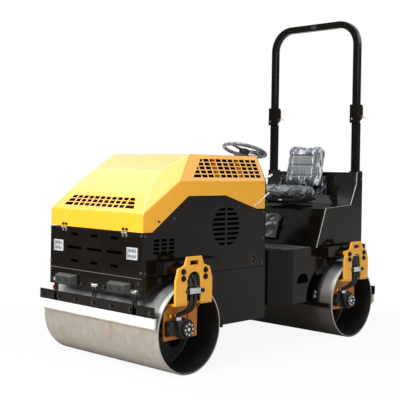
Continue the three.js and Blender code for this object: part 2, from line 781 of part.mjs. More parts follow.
// The seat box between the side panels: sloped front, deck, and the hollow raised back.
function seatBox() {
  const half = bodyHalfWidth - panelThickness - restGap;
  const outer = slab([
    [rearSheetFront + 5, floorHeight + 4], ...seatBoxSide.slice(1).map(([x, z]) => [x, z - 2]),
    [rearPanelX, floorHeight + 14],
  ], 'side', ...span(half));
  const inner = slab([
    [rearSheetFront - 78, floorHeight - 48], [rearAxleX + 205, deckHeight - 40],
    [rearAxleX - 145, deckHeight - 30], [rearAxleX - 235, rearTopHeight - 92],
    [rearAxleX - 240, rearTopHeight - 22], [rearPanelX + panelThickness, rearTopHeight - 22],
    [rearPanelX + panelThickness, floorHeight - 48],
  ], 'side', ...span(half - panelThickness));
  const beam = block([rearAxleX - beamReachOuter - beamCutGap, rearAxleX + beamReachInner + beamCutGap],
    span(beyond), [deckTop, beamTop + beamCutGap / 2]);
  return cut(outer, inner, beam);
}

// ---------------------------------------------------------------- operator's place

const seatTop = cushionBottom + cushionHeight;

const seatBase = () => block(seatBaseEnds, span(seatBaseHalfWidth),
  [deckHeight + 8 + restGap, cushionBottom - restGap]);

const rounded = (width, height, radius) => {
  const shape = new THREE.Shape();
  const [w, h] = [width / 2, height / 2];
  shape.absarc(w - radius, h - radius, radius, 0, Math.PI / 2, false);
  shape.absarc(-w + radius, h - radius, radius, Math.PI / 2, Math.PI, false);
  shape.absarc(-w + radius, -h + radius, radius, Math.PI, 1.5 * Math.PI, false);
  shape.absarc(w - radius, -h + radius, radius, 1.5 * Math.PI, 2 * Math.PI, false);
  return shape;
};

const seatCushion = () => push(rounded(cushionLength, seatWidth, cushionCorner), 'plan',
  cushionBottom, seatTop, 5)
  .translate([seatCentreX + 37, 0, 0]);

const seatBack = () => push(rounded(seatWidth - backInset, backHeight, cushionCorner), 'front',
  -backThickness, 0, 5)
  .translate([0, 0, backHeight / 2])
  .rotate([0, -backLean, 0])
  .translate([seatCentreX - 180, 0, seatTop - 4]);

// The console and the column up to the steering wheel.
function steeringColumn() {
  const tilt = wheelTilt * Math.PI / 180;
  const down = (length) => [
    wheelHub[0] + length * Math.sin(tilt), 0, wheelHub[2] - length * Math.cos(tilt)];
  const box = slab([
    [consoleFootX - 185, floorHeight + restGap], [consoleFootX - 62, floorHeight + restGap],
    [consoleFootX - 96, consoleTop], [consoleFootX - 200, consoleTop - 30],
  ], 'side', ...span(consoleHalfWidth));
  return join(box, bar(down(30), down(330), columnRadius, 24));
}

// Rim, hub and three spokes, made flat about +Z and turned onto the column.
function steeringWheel() {
  const rimCentre = wheelRadius - wheelRimRadius;
  const rim = solid(new THREE.TorusGeometry(rimCentre, wheelRimRadius, 10, 36));
  const hub = bar([0, 0, -24], [0, 0, 12], hubRadius, 32);
  const spokes = [0, 120, 240].map((angle) =>
    block([hubRadius / 2, rimCentre], span(spokeHalfWidth), [-8, 2]).rotate([0, 0, angle]));
  return join(rim, hub, ...spokes);
}

// The travel lever beside the console, leaning back and out to the operator's hand.
function travelLever() {
  const foot = [wheelHub[0] + 51, consoleHalfWidth + 17, consoleTop - 50];
  const grip = [wheelHub[0] - 52, consoleHalfWidth + 131, consoleTop + 95];
  return join(bar(foot, grip, leverRadius, 12),
    block([foot[0] - 25, foot[0] + 20], [consoleHalfWidth + restGap, consoleHalfWidth + 30],
      [foot[2] - 30, foot[2] + 15]));
}

// ---------------------------------------------------------------- roll-over hoop

// A post on the rear body with the fold joint's channel on top, open to the rear.
function hoopPost(sign) {
  const y = sign * (hoopHalfWidth - hoopTubeY / 2);
  const halfY = hoopTubeY / 2;
  const cheekIn = halfY + foldSideGap;
  const cheekOut = cheekIn + foldCheek;
  const front = hoopX + hoopTubeX / 2;
  const face = [front + movingGap, front + movingGap + foldCheek];
  const wrap = [y - cheekOut, y + cheekOut];
  const cheekBottom = foldPostTop - 6;
  const back = hoopX - hoopTubeX / 2;
  const post = slab([
    [back, rearTopHeight + restGap], [back, foldPostTop - foldHeel], [hoopX + 4, foldPostTop],
    [front, foldPostTop], [front, rearTopHeight + restGap],
  ], 'side', y - halfY, y + halfY);
  const cheeks = [-1, 1].map((across) => {
    const plate = new THREE.Shape();
    plate.moveTo(face[1], cheekBottom);
    plate.lineTo(face[1], foldTop);
    plate.lineTo(hoopX - foldBack + foldCorner, foldTop);
    plate.absarc(hoopX - foldBack + foldCorner, foldTop - foldCorner, foldCorner,
      Math.PI / 2, Math.PI, false);
    plate.lineTo(hoopX - foldBack, cheekBottom + foldChamfer);
    plate.lineTo(hoopX - foldBack + foldChamfer + 9, cheekBottom);
    plate.closePath();
    return push(plate, 'side', y + across * cheekIn, y + across * cheekOut, 8);
  });
  const collar = block([hoopX + 4, face[1]], wrap, [collarBottom, foldPostTop]);
  const pinEnd = cheekOut + 8;
  const pin = bar([hoopX, y - pinEnd, foldPinHeight], [hoopX, y + pinEnd, foldPinHeight],
    foldPinRadius, 20);
  return join(post, ...cheeks, block(face, wrap, [cheekBottom, foldTop]), collar, pin);
}

// The hoop above the fold: one bent tube with round-bottomed legs, bored for the fold pins.
function hoopTopFrame() {
  const arcs = (half, top, radius, bottom) => {
    const shape = new THREE.Shape();
    shape.moveTo(half, bottom);
    shape.lineTo(half, top - radius);
    shape.absarc(half - radius, top - radius, radius, 0, Math.PI / 2, false);
    shape.absarc(-half + radius, top - radius, radius, Math.PI / 2, Math.PI, false);
    shape.lineTo(-half, bottom);
    return shape;
  };
  const outer = arcs(hoopHalfWidth, hoopTop, hoopBend, foldPinHeight);
  const inner = arcs(hoopHalfWidth - hoopTubeY, hoopTop - hoopTubeY, hoopBend - hoopTubeY,
    foldPinHeight - 50);
  const x = span(hoopTubeX / 2).map((offset) => hoopX + offset);
  const tube = cut(push(outer, 'front', ...x, 10), push(inner, 'front', x[0] - 5, x[1] + 5, 10));
  const feet = sides.map(([, sign]) => bar(
    [hoopX, sign * (hoopHalfWidth - hoopTubeY), foldPinHeight],
    [hoopX, sign * hoopHalfWidth, foldPinHeight], hoopTubeX / 2, 32));
  const bore = bar([hoopX, -beyond, foldPinHeight], [hoopX, beyond, foldPinHeight],
    foldPinRadius + pinGap, 20);
  return cut(join(tube, ...feet), bore);
}

// ---------------------------------------------------------------- steering cylinder

// Both pieces are made along +X with the base eye at the origin, then turned and placed.
const cylinderLine = new THREE.Vector2(
  cylinderPin[0] - cylinderBase[0], cylinderPin[1] - cylinderBase[1]);
const cylinderSwing = cylinderLine.angle() + cylinderRestSwing * Math.PI / 180;

function ringEye(x, holeRadius) {
  const half = eyeThickness / 2;
  return cut(bar([x, 0, -half], [x, 0, half], eyeRadius, 28),
    bar([x, 0, -half - 5], [x, 0, half + 5], holeRadius, 20));
}

function cylinderBarrel() {
  const start = eyeRadius + 14;
  const neck = bar([eyeRadius - 5, 0, 0], [start + 5, 0, 0], rodRadius, 24);
  const tube = cut(bar([start, 0, 0], [barrelLength, 0, 0], barrelRadius, 28),
    bar([start + 12, 0, 0], [barrelLength + 5, 0, 0], rodRadius + pinGap, 24));
  return join(ringEye(0, eyePinRadius + pinGap), neck, tube);
}

function cylinderRod() {
  const reach = cylinderLine.length();
  const shaft = bar([barrelLength - rodInside - 20, 0, 0], [reach - eyeRadius + 5, 0, 0], rodRadius, 24);
  return join(ringEye(reach, eyeHoleRadius), shaft);
}

// ---------------------------------------------------------------- the machine

const model = new THREE.Group();
const units = [['front', frontAxleX, 1], ['rear', rearAxleX, -1]];
for (const [unit, axleX, facing] of units) {
  const roller = mesh(`${unit}_drum`, drum(), steel);
  roller.position.set(axleX, 0, drumRadius);
  model.add(roller);
  for (const [side, sign] of sides) {
    model.add(
      mesh(`${unit}_bracket_${side}`, bracket(axleX, sign), yellow),
      mesh(`${unit}_motor_${side}`, motor(axleX, sign), iron),
      mesh(`${unit}_hoses_${side}`, hoses(axleX, sign), rubber));
  }
  model.add(
    mesh(`${unit}_scraper_outer`, endScraper(axleX, facing), black),
    mesh(`${unit}_scraper_inner`, innerScraper(axleX, facing), black));
}
for (const [side, sign] of sides) {
  model.add(
    mesh(`front_side_panel_${side}`, frontSidePanel(sign), black),
    mesh(`headlight_${side}`, headlight(sign), lamp),
    mesh(`front_buffer_${side}`, buffer(1, sign), darkGrey),
    mesh(`rear_buffer_${side}`, buffer(-1, sign), darkGrey),
    mesh(`hood_hinge_${side}`, hoodHinge(sign), bright),
    mesh(`rear_side_panel_${side}`, rearSidePanel(sign), black),
    mesh(`step_side_${side}`, stepSide(sign), black),
    mesh(`hoop_post_${side}`, hoopPost(sign), black));
}
model.add(
  mesh('front_chassis', frontChassis(), black),
  mesh('front_panel', frontPanel(), black),
  mesh('front_bumper', bumper(1), black),
  mesh('engine', engine(), iron),
  mesh('hood', hood(), yellow),
  mesh('rear_chassis', rearChassis(), black),
  mesh('rear_bumper', bumper(-1), black),
  mesh('floor_mat', floorMat(), rubber),
  mesh('seat_box', seatBox(), black),
  mesh('seat_base', seatBase(), iron),
  mesh('seat_cushion', seatCushion(), vinyl),
  mesh('seat_back', seatBack(), vinyl),
  mesh('steering_column', steeringColumn(), iron),
  mesh('travel_lever', travelLever(), bright),
  mesh('hoop', hoopTopFrame(), black));

for (const [name, piece, material] of [
  ['steering_cylinder_barrel', cylinderBarrel(), yellow],
  ['steering_cylinder_rod', cylinderRod(), bright],
]) {
  const part = mesh(name, piece, material);
  part.position.set(...cylinderBase, cylinderHeight);
  part.rotation.z = cylinderSwing;
  model.add(part);
}

const wheel = mesh('steering_wheel', steeringWheel(), rubber);
wheel.position.set(...wheelHub);
wheel.rotation.y = -wheelTilt * Math.PI / 180;
model.add(wheel);

export default model;
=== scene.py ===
"""A ride-on tandem road roller: gloss yellow and black paint, worn steel drums and a wrapped seat,
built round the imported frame. Metres, +X forwards, +Y to the operator's left, +Z up."""

import json
import math

import bmesh
import bpy
from mathutils import Matrix, Vector, noise

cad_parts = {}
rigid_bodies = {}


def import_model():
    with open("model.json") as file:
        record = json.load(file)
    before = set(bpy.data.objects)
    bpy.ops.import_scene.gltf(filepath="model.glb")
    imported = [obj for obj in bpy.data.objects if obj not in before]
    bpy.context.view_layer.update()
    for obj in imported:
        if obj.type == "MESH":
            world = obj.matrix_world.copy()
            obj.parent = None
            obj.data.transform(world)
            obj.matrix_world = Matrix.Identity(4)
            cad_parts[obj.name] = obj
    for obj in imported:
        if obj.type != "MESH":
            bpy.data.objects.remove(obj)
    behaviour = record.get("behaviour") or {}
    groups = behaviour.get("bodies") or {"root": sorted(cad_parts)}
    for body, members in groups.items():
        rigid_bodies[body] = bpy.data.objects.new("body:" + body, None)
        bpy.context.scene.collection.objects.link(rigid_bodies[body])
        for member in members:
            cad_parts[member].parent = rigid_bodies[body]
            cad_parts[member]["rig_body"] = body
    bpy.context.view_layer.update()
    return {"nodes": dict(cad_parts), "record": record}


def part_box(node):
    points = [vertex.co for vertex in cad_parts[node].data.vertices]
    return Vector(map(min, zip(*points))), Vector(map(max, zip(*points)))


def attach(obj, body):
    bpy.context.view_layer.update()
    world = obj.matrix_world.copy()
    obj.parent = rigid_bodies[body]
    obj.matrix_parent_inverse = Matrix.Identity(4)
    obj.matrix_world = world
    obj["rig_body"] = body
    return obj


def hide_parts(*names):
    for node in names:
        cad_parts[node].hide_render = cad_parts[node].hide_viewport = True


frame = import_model()
record = frame["record"]
slots = {part["node"]: part["material_slot"] for part in record["subparts"]}

SIDES = (("left", 1), ("right", -1))
UNITS = (("front", 1), ("rear", -1))

# Places that many pieces share, from the frame
hood_low, hood_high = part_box("hood")
FRONT = hood_high.x
HALF = hood_high.y
HOOD_EDGE = hood_low.z
DRUM_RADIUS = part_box("front_drum")[1].z / 2
AXLES = {unit: (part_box(f"{unit}_drum")[0].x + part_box(f"{unit}_drum")[1].x) / 2 for unit, _ in UNITS}
BRACKET_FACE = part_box("front_bracket_left")[1].y
BRACKET_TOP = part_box("front_bracket_left")[1].z
SHEET = 0.020
BEAM_SIDE = 0.5755
AXLE_Z = 0.300
MERGE = 0.00002
SKY_TINT = (0.86, 0.94, 1.0)


# ------------------------------------------------------------------ camera and light

def place_camera():
    """Eye level in front and to the left, with a long lens."""
    azimuth = 2.3374
    elevation = 0.006
    roll = 0.0165
    along = Vector((-math.sin(azimuth) * math.cos(elevation),
                    math.cos(azimuth) * math.cos(elevation), -math.sin(elevation)))
    right = Vector((math.cos(azimuth), math.sin(azimuth), 0))
    up = right.cross(along)
    side = math.cos(roll) * right + math.sin(roll) * up
    top = math.cos(roll) * up - math.sin(roll) * right
    lens = bpy.data.cameras.new("camera")
    lens.sensor_width = 36
    lens.lens = 76.36
    lens.shift_x = 0.0186
    lens.shift_y = -0.0655
    camera = bpy.data.objects.new("camera", lens)
    bpy.context.scene.collection.objects.link(camera)
    camera.matrix_world = Matrix((
        (side.x, top.x, -along.x, 5.0146),
        (side.y, top.y, -along.y, 4.5007),
        (side.z, top.z, -along.z, 1.3687),
        (0, 0, 0, 1)))
    bpy.context.scene.camera = camera


def soft_light(name, place, target, width, height, watts, tint=(1, 1, 1)):
    """A rectangular studio light that faces its target."""
    light = bpy.data.lights.new(name, "AREA")
    light.shape = "RECTANGLE"
    light.size = width
    light.size_y = height
    light.energy = watts
    light.color = tint
    lamp = bpy.data.objects.new(name, light)
    bpy.context.scene.collection.objects.link(lamp)
    lamp.location = place
    lamp.rotation_euler = (Vector(target) - Vector(place)).to_track_quat("-Z", "Y").to_euler()
    return lamp


# ------------------------------------------------------------------ shader maths

class Wire:
    """A shader socket that takes part in Python sums. Each sum adds its Math node."""

    def __init__(self, finish, socket):
        self.finish = finish
        self.socket = socket

    def sum(self, operation, *values):
        return self.finish.node("Math", {"operation": operation},
                                {place: value for place, value in enumerate(values)})

    def __add__(self, other):
        return self.sum("ADD", self, other)

    def __radd__(self, other):
        return self.sum("ADD", other, self)

    def __sub__(self, other):
        return self.sum("SUBTRACT", self, other)

    def __rsub__(self, other):
        return self.sum("SUBTRACT", other, self)

    def __mul__(self, other):
        return self.sum("MULTIPLY", self, other)

    def __rmul__(self, other):
        return self.sum("MULTIPLY", other, self)

    def __pow__(self, other):
        return self.sum("POWER", self, other)

    def __abs__(self):
        return self.sum("ABSOLUTE", self)


class Finish:
    """A procedural material, or the world's light, with one method that adds any node to it."""

    def __init__(self, name, owner=None):
        self.material = owner or bpy.data.materials.new(name)
        self.material.use_nodes = True
        self.tree = self.material.node_tree
        self.tree.nodes.clear()

    def node(self, kind, settings=None, inputs=None, output=0):
        """Adds a node: its settings are set first, then its sockets get values or links."""
        node = self.tree.nodes.new("ShaderNode" + kind)
        for name, value in (settings or {}).items():
            setattr(node, name, value)
        for name, value in (inputs or {}).items():
            if isinstance(value, Wire):
                self.tree.links.new(value.socket, node.inputs[name])
            else:
                node.inputs[name].default_value = value
        return Wire(self, node.outputs[output]) if len(node.outputs) else None

    def place(self):
        """Where a point is on the piece, in metres in the frame."""
        return self.node("TexCoord", output="Object")

    def stretched(self, scale):
        return self.node("Mapping", None, {"Vector": self.place(), "Scale": scale})

    def axis(self, output):
        """X, Y or Z of a point on the piece."""
        return self.node("SeparateXYZ", None, {0: self.place()}, output)

    def noise(self, scale, detail=2.0, roughness=0.5, vector=None):
        return self.node("TexNoise", None, {
            "Vector": vector or self.place(), "Scale": scale, "Detail": detail, "Roughness": roughness})

    def cells(self, scale, vector):
        """How far a point is from the edge of its cell."""
        return self.node("TexVoronoi", {"feature": "DISTANCE_TO_EDGE"},
                         {"Vector": vector, "Scale": scale}, "Distance")

    def warped(self, scale, amount, vector=None):
        """The place pushed about by a noise."""
        push = self.node("TexNoise", None, {"Vector": self.place(), "Scale": scale, "Detail": 3.0}, 1)
        push = self.node("VectorMath", {"operation": "SCALE"}, {0: push, "Scale": amount})
        return self.node("VectorMath", {"operation": "ADD"}, {0: vector or self.place(), 1: push})

    def step(self, value, low, high):
        """0 below low, 1 above high and smooth between."""
        return self.node("MapRange", {"interpolation_type": "SMOOTHSTEP"}, {
            "Value": value, "From Min": low, "From Max": high})

    def band(self, value, centre, width):
        """1 where value is near centre, falling to 0 at width from it."""
        return 1 - self.step(abs(value - centre), 0, width)

    def mix(self, share, low, high):
        """A colour between two colours."""
        colours = {}
        for socket, colour in ((6, low), (7, high)):
            colours[socket] = colour if isinstance(colour, Wire) else (*colour, 1)
        return self.node("Mix", {"data_type": "RGBA"}, {0: share, **colours}, 2)

    def bump(self, height, distance, strength=1.0):
        return self.node("Bump", None, {"Height": height, "Distance": distance, "Strength": strength})

    def surface(self, colour, roughness, metallic=0.0, normal=None, **fixed):
        """The principled surface. What is in fixed stays the same all over."""
        inputs = {"Base Color": colour if isinstance(colour, Wire) else (*colour, 1),
                  "Roughness": roughness, "Metallic": metallic}
        inputs.update({name.replace("_", " "): value for name, value in fixed.items()})
        if normal is not None:
            inputs["Normal"] = normal
        shader = self.node("BsdfPrincipled", None, inputs)
        self.node("OutputMaterial", None, {"Surface": shader})
        return self.material


# ------------------------------------------------------------------ finishes

def gloss_paint(name, colour, shade, roughness, dust, ior=1.5, edge=None):
    """Sprayed paint: a faint orange peel, cloudy tone, fine scuffs, and dust that dulls it in patches."""
    finish = Finish(name)
    clouds = finish.noise(2.2, 4)
    fine = finish.noise(60, 3)
    peel = finish.noise(420, 1)
    haze = finish.step(clouds * 0.75 + fine * 0.25, 0.45, 0.68)
    tone = finish.mix(clouds, colour, shade)
    dusty = finish.mix(haze * dust, tone, (0.42, 0.36, 0.29))
    if edge:
        scuffs = finish.noise(9, 7, 0.7, finish.warped(14, 0.05, finish.stretched((1, 1, 9))))
        worn = finish.step(scuffs, 0.68, 0.72) * finish.step(finish.noise(3.1, 2), 0.5, 0.6)
        dusty = finish.mix(worn * 0.5, dusty, edge)
    return finish.surface(dusty, roughness + haze * 0.10 + fine * 0.03,
                          normal=finish.bump(peel, 0.0002, 0.10), IOR=ior)


def drum_steel():
    """Rolled plate: pale where it meets the ground, streaked round, stained tan, and painted black inside,
    with a painted sky reflection on top, a painted highlight high on the front near each end and
    painted shade on the lower half of the rear drum.
    """
    finish = Finish("drum_steel")
    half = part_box("front_drum")[1].y
    reach = abs(finish.axis("X")) - AXLES["front"]
    rise = finish.axis("Z") - DRUM_RADIUS
    radius = (reach * reach + rise * rise) ** 0.5
    outside = finish.step(radius, DRUM_RADIUS - 0.0110, DRUM_RADIUS - 0.0105)
    normal = finish.node("NewGeometry", output="Normal")
    upward = finish.node("SeparateXYZ", None, {0: normal}, "Z")
    forward = finish.node("SeparateXYZ", None, {0: normal}, "X")
    # Upward faces, where the painted sky reflection goes
    painted_sheen = finish.step(upward, 0.10, 0.75)
    end = abs(finish.axis("Y"))
    lip = finish.step(end, half - 0.006, half - 0.003)
    # Painted highlight: the lit upper front of the drum near each end
    painted_shoulder_highlight = finish.step(end, half - 0.034, half - 0.026) * finish.step(upward, 0.30, 0.60)
    painted_shoulder_highlight = painted_shoulder_highlight * finish.step(forward, 0.1, 0.4)
    streaks = finish.noise(5, 7, 0.62, finish.stretched((0.5, 60, 0.5)))
    grain = finish.noise(240, 3)
    clouds = finish.noise(4.2, 6, 0.62)
    blotches = finish.step(finish.noise(11, 6, 0.65, finish.stretched((1, 2.2, 1))), 0.50, 0.66)
    stain = finish.step(clouds * 0.6 + streaks * 0.4, 0.50, 0.64)
    steel = finish.mix(streaks, (0.28, 0.25, 0.21), (0.47, 0.43, 0.375))
    stained = finish.mix(stain * 0.65, steel, (0.27, 0.19, 0.115))
    chalky = finish.mix(blotches * 0.35, stained, (0.52, 0.46, 0.39))
    # Painted sky reflection: the upward faces turned blue-grey
    cool = finish.mix(painted_sheen * 0.62, chalky, (0.30, 0.34, 0.37))
    # Painted shade: the lower half of the rear drum, under the step, mixed towards near black
    painted_shade_under_step = finish.step(0 - finish.axis("X"), 0.2, 0.4) * (1 - finish.step(upward, 0.05, 0.55))
    shaded = finish.mix(painted_shade_under_step * 0.62, cool, (0.050, 0.044, 0.037))
    worn = finish.mix(lip * 0.6, shaded, (0.46, 0.45, 0.43))
    # Worn rims, then the painted highlight near the ends
    worn = finish.mix(painted_shoulder_highlight * 0.85, worn, (0.88, 0.83, 0.74))
    colour = finish.mix(outside, (0.011, 0.010, 0.009), worn)
    rough = 0.40 + grain * 0.12 + stain * 0.18 + blotches * 0.10
    return finish.surface(colour, outside * rough + (1 - outside) * 0.45,
                          outside * (0.62 - stain * 0.30 - blotches * 0.15),
                          normal=finish.bump(streaks * 0.6 + grain * 0.2 + blotches * 0.2, 0.0008, 0.35))


def cast_iron():
    finish = Finish("cast_iron")
    grain = finish.noise(160, 4)
    grime = finish.noise(9, 5)
    colour = finish.mix(finish.step(grime, 0.4, 0.7), (0.011, 0.010, 0.010), (0.034, 0.029, 0.024))
    return finish.surface(colour, 0.34 + grain * 0.3, 0.15, normal=finish.bump(grain, 0.0006, 0.5),
                          IOR=1.4)


def hose_rubber():
    finish = Finish("rubber")
    grain = finish.noise(300, 3)
    dust = finish.step(finish.noise(14, 5), 0.5, 0.75)
    colour = finish.mix(dust * 0.35, (0.008, 0.008, 0.008), (0.07, 0.062, 0.055))
    return finish.surface(colour, 0.42 + grain * 0.25, normal=finish.bump(grain, 0.0004, 0.5), IOR=1.4)


def polished_metal(name="chrome", colour=(0.72, 0.71, 0.69), roughness=0.12):
    finish = Finish(name)
    smears = finish.noise(30, 4)
    tone = finish.mix(finish.step(smears, 0.35, 0.7), tuple(0.75 * part for part in colour), colour)
    return finish.surface(tone, roughness + smears * 0.2, 1.0,
                          normal=finish.bump(finish.noise(500, 2), 0.0002, 0.2))


def satin_grey():
    """Cast blocks in dark grey, paler on their upward faces."""
    finish = Finish("satin_grey")
    grain = finish.noise(380, 3)
    wear = finish.step(finish.noise(26, 6, 0.65), 0.50, 0.66)
    upward = finish.node("SeparateXYZ", None, {0: finish.node("NewGeometry", output="Normal")}, "Z")
    # Paler on the upward faces
    dust = finish.step(upward, 0.35, 0.8)
    colour = finish.mix(wear * 0.55, (0.012, 0.0115, 0.011), (0.036, 0.034, 0.031))
    colour = finish.mix(dust * 0.6, colour, (0.12, 0.115, 0.105))
    return finish.surface(colour, 0.42 + grain * 0.2, normal=finish.bump(grain + wear, 0.0006, 0.4))


def lamp_white():
    finish = Finish("lamp_face")
    ring = finish.noise(40, 2)
    return finish.surface(finish.mix(ring, (0.46, 0.47, 0.48), (0.56, 0.57, 0.58)), 0.25 + ring * 0.1,
                          normal=finish.bump(ring, 0.0003, 0.2))


def wear_strip():
    """White plastic strip, stained tan along its lower edge."""
    finish = Finish("wear_strip")
    height = finish.axis("Z")
    smudge = finish.noise(16, 6, 0.65, finish.stretched((1, 0.5, 2.5)))
    low = 1 - finish.step(height + smudge * 0.05, 0.350, 0.385)
    patch = finish.step(smudge, 0.56, 0.70)
    colour = finish.mix(low * 0.75, (0.80, 0.79, 0.77), (0.42, 0.31, 0.20))
    colour = finish.mix(patch * 0.30, colour, (0.52, 0.45, 0.36))
    return finish.surface(colour, 0.38 + smudge * 0.2, normal=finish.bump(smudge, 0.0008, 0.3))


def clear_film(name, base, painted_glint_share):
    """Clear film shrunk over a dark part: crossing creases that go pale blue-white where the film lifts,
    partly clouded film and partly a painted highlight.
    """
    finish = Finish(name)
    long_way = finish.warped(5.0, 0.16, finish.stretched((1.0, 1.5, 0.55)))
    cross_way = finish.warped(7.0, 0.12, finish.stretched((0.8, 0.6, 1.6)))
    ridges = 1 - finish.step(finish.cells(11, long_way), 0.0, 0.10)
    creases = 1 - finish.step(abs(finish.noise(13, 4, 0.55, cross_way) - 0.5), 0.0, 0.030)
    fine = 1 - finish.step(abs(finish.noise(31, 3, 0.5, long_way) - 0.5), 0.0, 0.028)
    patches = finish.step(finish.noise(6.5, 4, 0.6), 0.42, 0.62)
    leather = finish.noise(420, 3)
    # Where the creases go pale: partly lifted film, partly painted highlight
    lift = finish.step(ridges * 0.5 + creases * patches + fine * 0.45 * patches, 0.32, 1.0)
    tone = finish.mix(finish.noise(4, 2), base, tuple(1.5 * part for part in base))
    # Painted highlight: blue-white mixed into the creases, as strong as the last argument says
    colour = finish.mix(lift * painted_glint_share, tone, (0.74, 0.80, 0.88))
    height = ridges * 0.7 + creases * 0.9 + fine * 0.4 + finish.noise(17, 4, 0.6, cross_way) * 0.9
    return finish.surface(colour, 0.09 + leather * 0.10, normal=finish.bump(height, 0.010, 0.85),
                          Coat_Weight=0.5, Coat_Roughness=0.05)


def bracket_paint():
    """The brackets' paint, a deeper orange below the shelf where the plates step in, as painted shade."""
    finish = Finish("bracket_paint")
    clouds = finish.noise(3.0, 4)
    # Painted shade: below the shelf the paint turns a deeper orange
    high = finish.step(finish.axis("Z"), 0.465, 0.492)
    painted_shade_tone = finish.mix(clouds, (0.56, 0.175, 0.006), (0.46, 0.14, 0.005))
    tone = finish.mix(high, painted_shade_tone, finish.mix(clouds, (0.88, 0.42, 0.032), (0.80, 0.37, 0.028)))
    return finish.surface(tone, 0.26 + clouds * 0.10,
                          normal=finish.bump(finish.noise(300, 1), 0.0002, 0.12), IOR=1.40)


def console_plastic():
    finish = Finish("console")
    grain = finish.noise(520, 2)
    clouds = finish.noise(8, 4)
    return finish.surface(finish.mix(clouds, (0.008, 0.008, 0.009), (0.020, 0.019, 0.018)),
                          0.32 + grain * 0.18, normal=finish.bump(grain, 0.0003, 0.5), IOR=1.4)


finishes = {
    "black_paint": gloss_paint("black_paint", (0.0046, 0.0034, 0.0023), (0.0070, 0.0053, 0.0037),
                               0.10, 0.006, 1.24, (0.05, 0.047, 0.043)),
    "yellow_paint": gloss_paint("yellow_paint", (0.90, 0.430, 0.029), (0.87, 0.405, 0.026), 0.22, 0.02,
                                1.38),
    "drum_steel": drum_steel(),
    "cast_iron": cast_iron(),
    "rubber": hose_rubber(),
    "chrome": polished_metal(),
    "dark_grey": satin_grey(),
    "lamp": lamp_white(),
    "vinyl": clear_film("wrapped_vinyl", (0.085, 0.088, 0.095), 0.80),
    "console": console_plastic(),
}
zinc = polished_metal("zinc_plate", (0.62, 0.62, 0.60), 0.28)
# The hood's yellow paint darkened to orange for the ribs inside it: painted shade
rib_painted_shade = gloss_paint("rib_painted_shade", (0.55, 0.17, 0.004), (0.45, 0.13, 0.003), 0.6, 0.0, 1.15)
# Painted highlight for the light line along the seam lip
painted_edge_highlight = gloss_paint("painted_edge_highlight", (0.20, 0.19, 0.18), (0.09, 0.085, 0.08), 0.25, 0.05)
# Painted highlight for the pale lines along the platform's top edges
painted_lip_highlight = gloss_paint("painted_lip_highlight", (0.52, 0.49, 0.44), (0.34, 0.32, 0.29), 0.25, 0.05)
# Painted highlight for the rods along the hood's folds
painted_crease_highlight = gloss_paint("painted_crease_highlight", (0.93, 0.70, 0.30), (0.90, 0.66, 0.26), 0.2, 0.0)
# Near-black sheets behind the vents: painted shade seen through the openings
painted_shade_black = gloss_paint("painted_shade_black", (0.0015, 0.0015, 0.0015), (0.002, 0.002, 0.002), 0.8, 0.0, 1.05)
dark_zinc = polished_metal("dark_zinc", (0.085, 0.082, 0.078), 0.30)
brass = polished_metal("brass_cap", (0.78, 0.55, 0.20), 0.22)
red_plastic = gloss_paint("red_cap", (0.45, 0.012, 0.010), (0.36, 0.010, 0.010), 0.3, 0.02)
wrapped_black = clear_film("wrapped_black", (0.009, 0.009, 0.010), 0.50)
wrapped_rim = clear_film("wrapped_rim", (0.09, 0.085, 0.078), 0.92)
bracket_yellow = bracket_paint()
strip_white = wear_strip()


# ------------------------------------------------------------------ the workbench

def clear_selection():
    if bpy.context.mode != "OBJECT":
        bpy.ops.object.mode_set(mode="OBJECT")
    bpy.ops.object.select_all(action="DESELECT")


def only(piece):
    """Makes piece the one selected and active object."""
    clear_selection()
    piece.select_set(True)
    bpy.context.view_layer.objects.active = piece
    return piece


def settle(piece):
    """Moves a piece's place, turn and size into its mesh."""
    only(piece)
    bpy.ops.object.transform_apply(location=True, rotation=True, scale=True)
    return piece


def with_modifier(piece, kind, **settings):
    """Adds a modifier and applies it."""
    only(piece)
    modifier = piece.modifiers.new(kind.lower(), kind)
    for name, value in settings.items():
        setattr(modifier, name, value)
    bpy.ops.object.modifier_apply(modifier=modifier.name)
    return piece


def softened_edges(piece, width, segments=2, angle=30):
    return with_modifier(piece, "BEVEL", width=width, segments=segments, limit_method="ANGLE",
                         angle_limit=math.radians(angle), miter_outer="MITER_ARC")


def picked(piece, kind, test):
    """In edit mode, selects the faces or the edges that pass a test, and nothing else."""
    if bpy.context.mode == "OBJECT":
        only(piece)
        bpy.ops.object.mode_set(mode="EDIT")
    bpy.ops.mesh.select_mode(type=kind)
    bpy.ops.mesh.select_all(action="DESELECT")
    mesh = bmesh.from_edit_mesh(piece.data)
    parts = mesh.faces if kind == "FACE" else mesh.edges
    chosen = [part for part in parts if test(part)]
    for part in chosen:
        part.select_set(True)
    bmesh.update_edit_mesh(piece.data)


def facing(direction):
    """A test for faces that look one way."""
    way = Vector(direction)
    return lambda face: face.normal.dot(way) > 0.9


def long_in(axis, least):
    """A test for edges that reach at least so far along an axis, X 0, Y 1 or Z 2."""
    return lambda edge: abs(edge.verts[0].co[axis] - edge.verts[1].co[axis]) > least


def tapered(piece, test, scale, pivot):
    """Scales the faces that pass a test about a pivot."""
    picked(piece, "FACE", test)
    bpy.ops.transform.resize(value=scale, center_override=pivot)
    bpy.ops.object.mode_set(mode="OBJECT")
    return piece


def diced(piece, cuts):
    """Cuts every face of a piece into a fine grid."""
    picked(piece, "FACE", lambda face: True)
    bpy.ops.mesh.subdivide(number_cuts=cuts)
    bpy.ops.object.mode_set(mode="OBJECT")
    return piece


def rounded(piece, test, radius, segments=6):
    """Rounds the edges that pass a test."""
    picked(piece, "EDGE", test)
    bpy.ops.mesh.bevel(offset=radius, segments=segments)
    bpy.ops.object.mode_set(mode="OBJECT")
    return piece


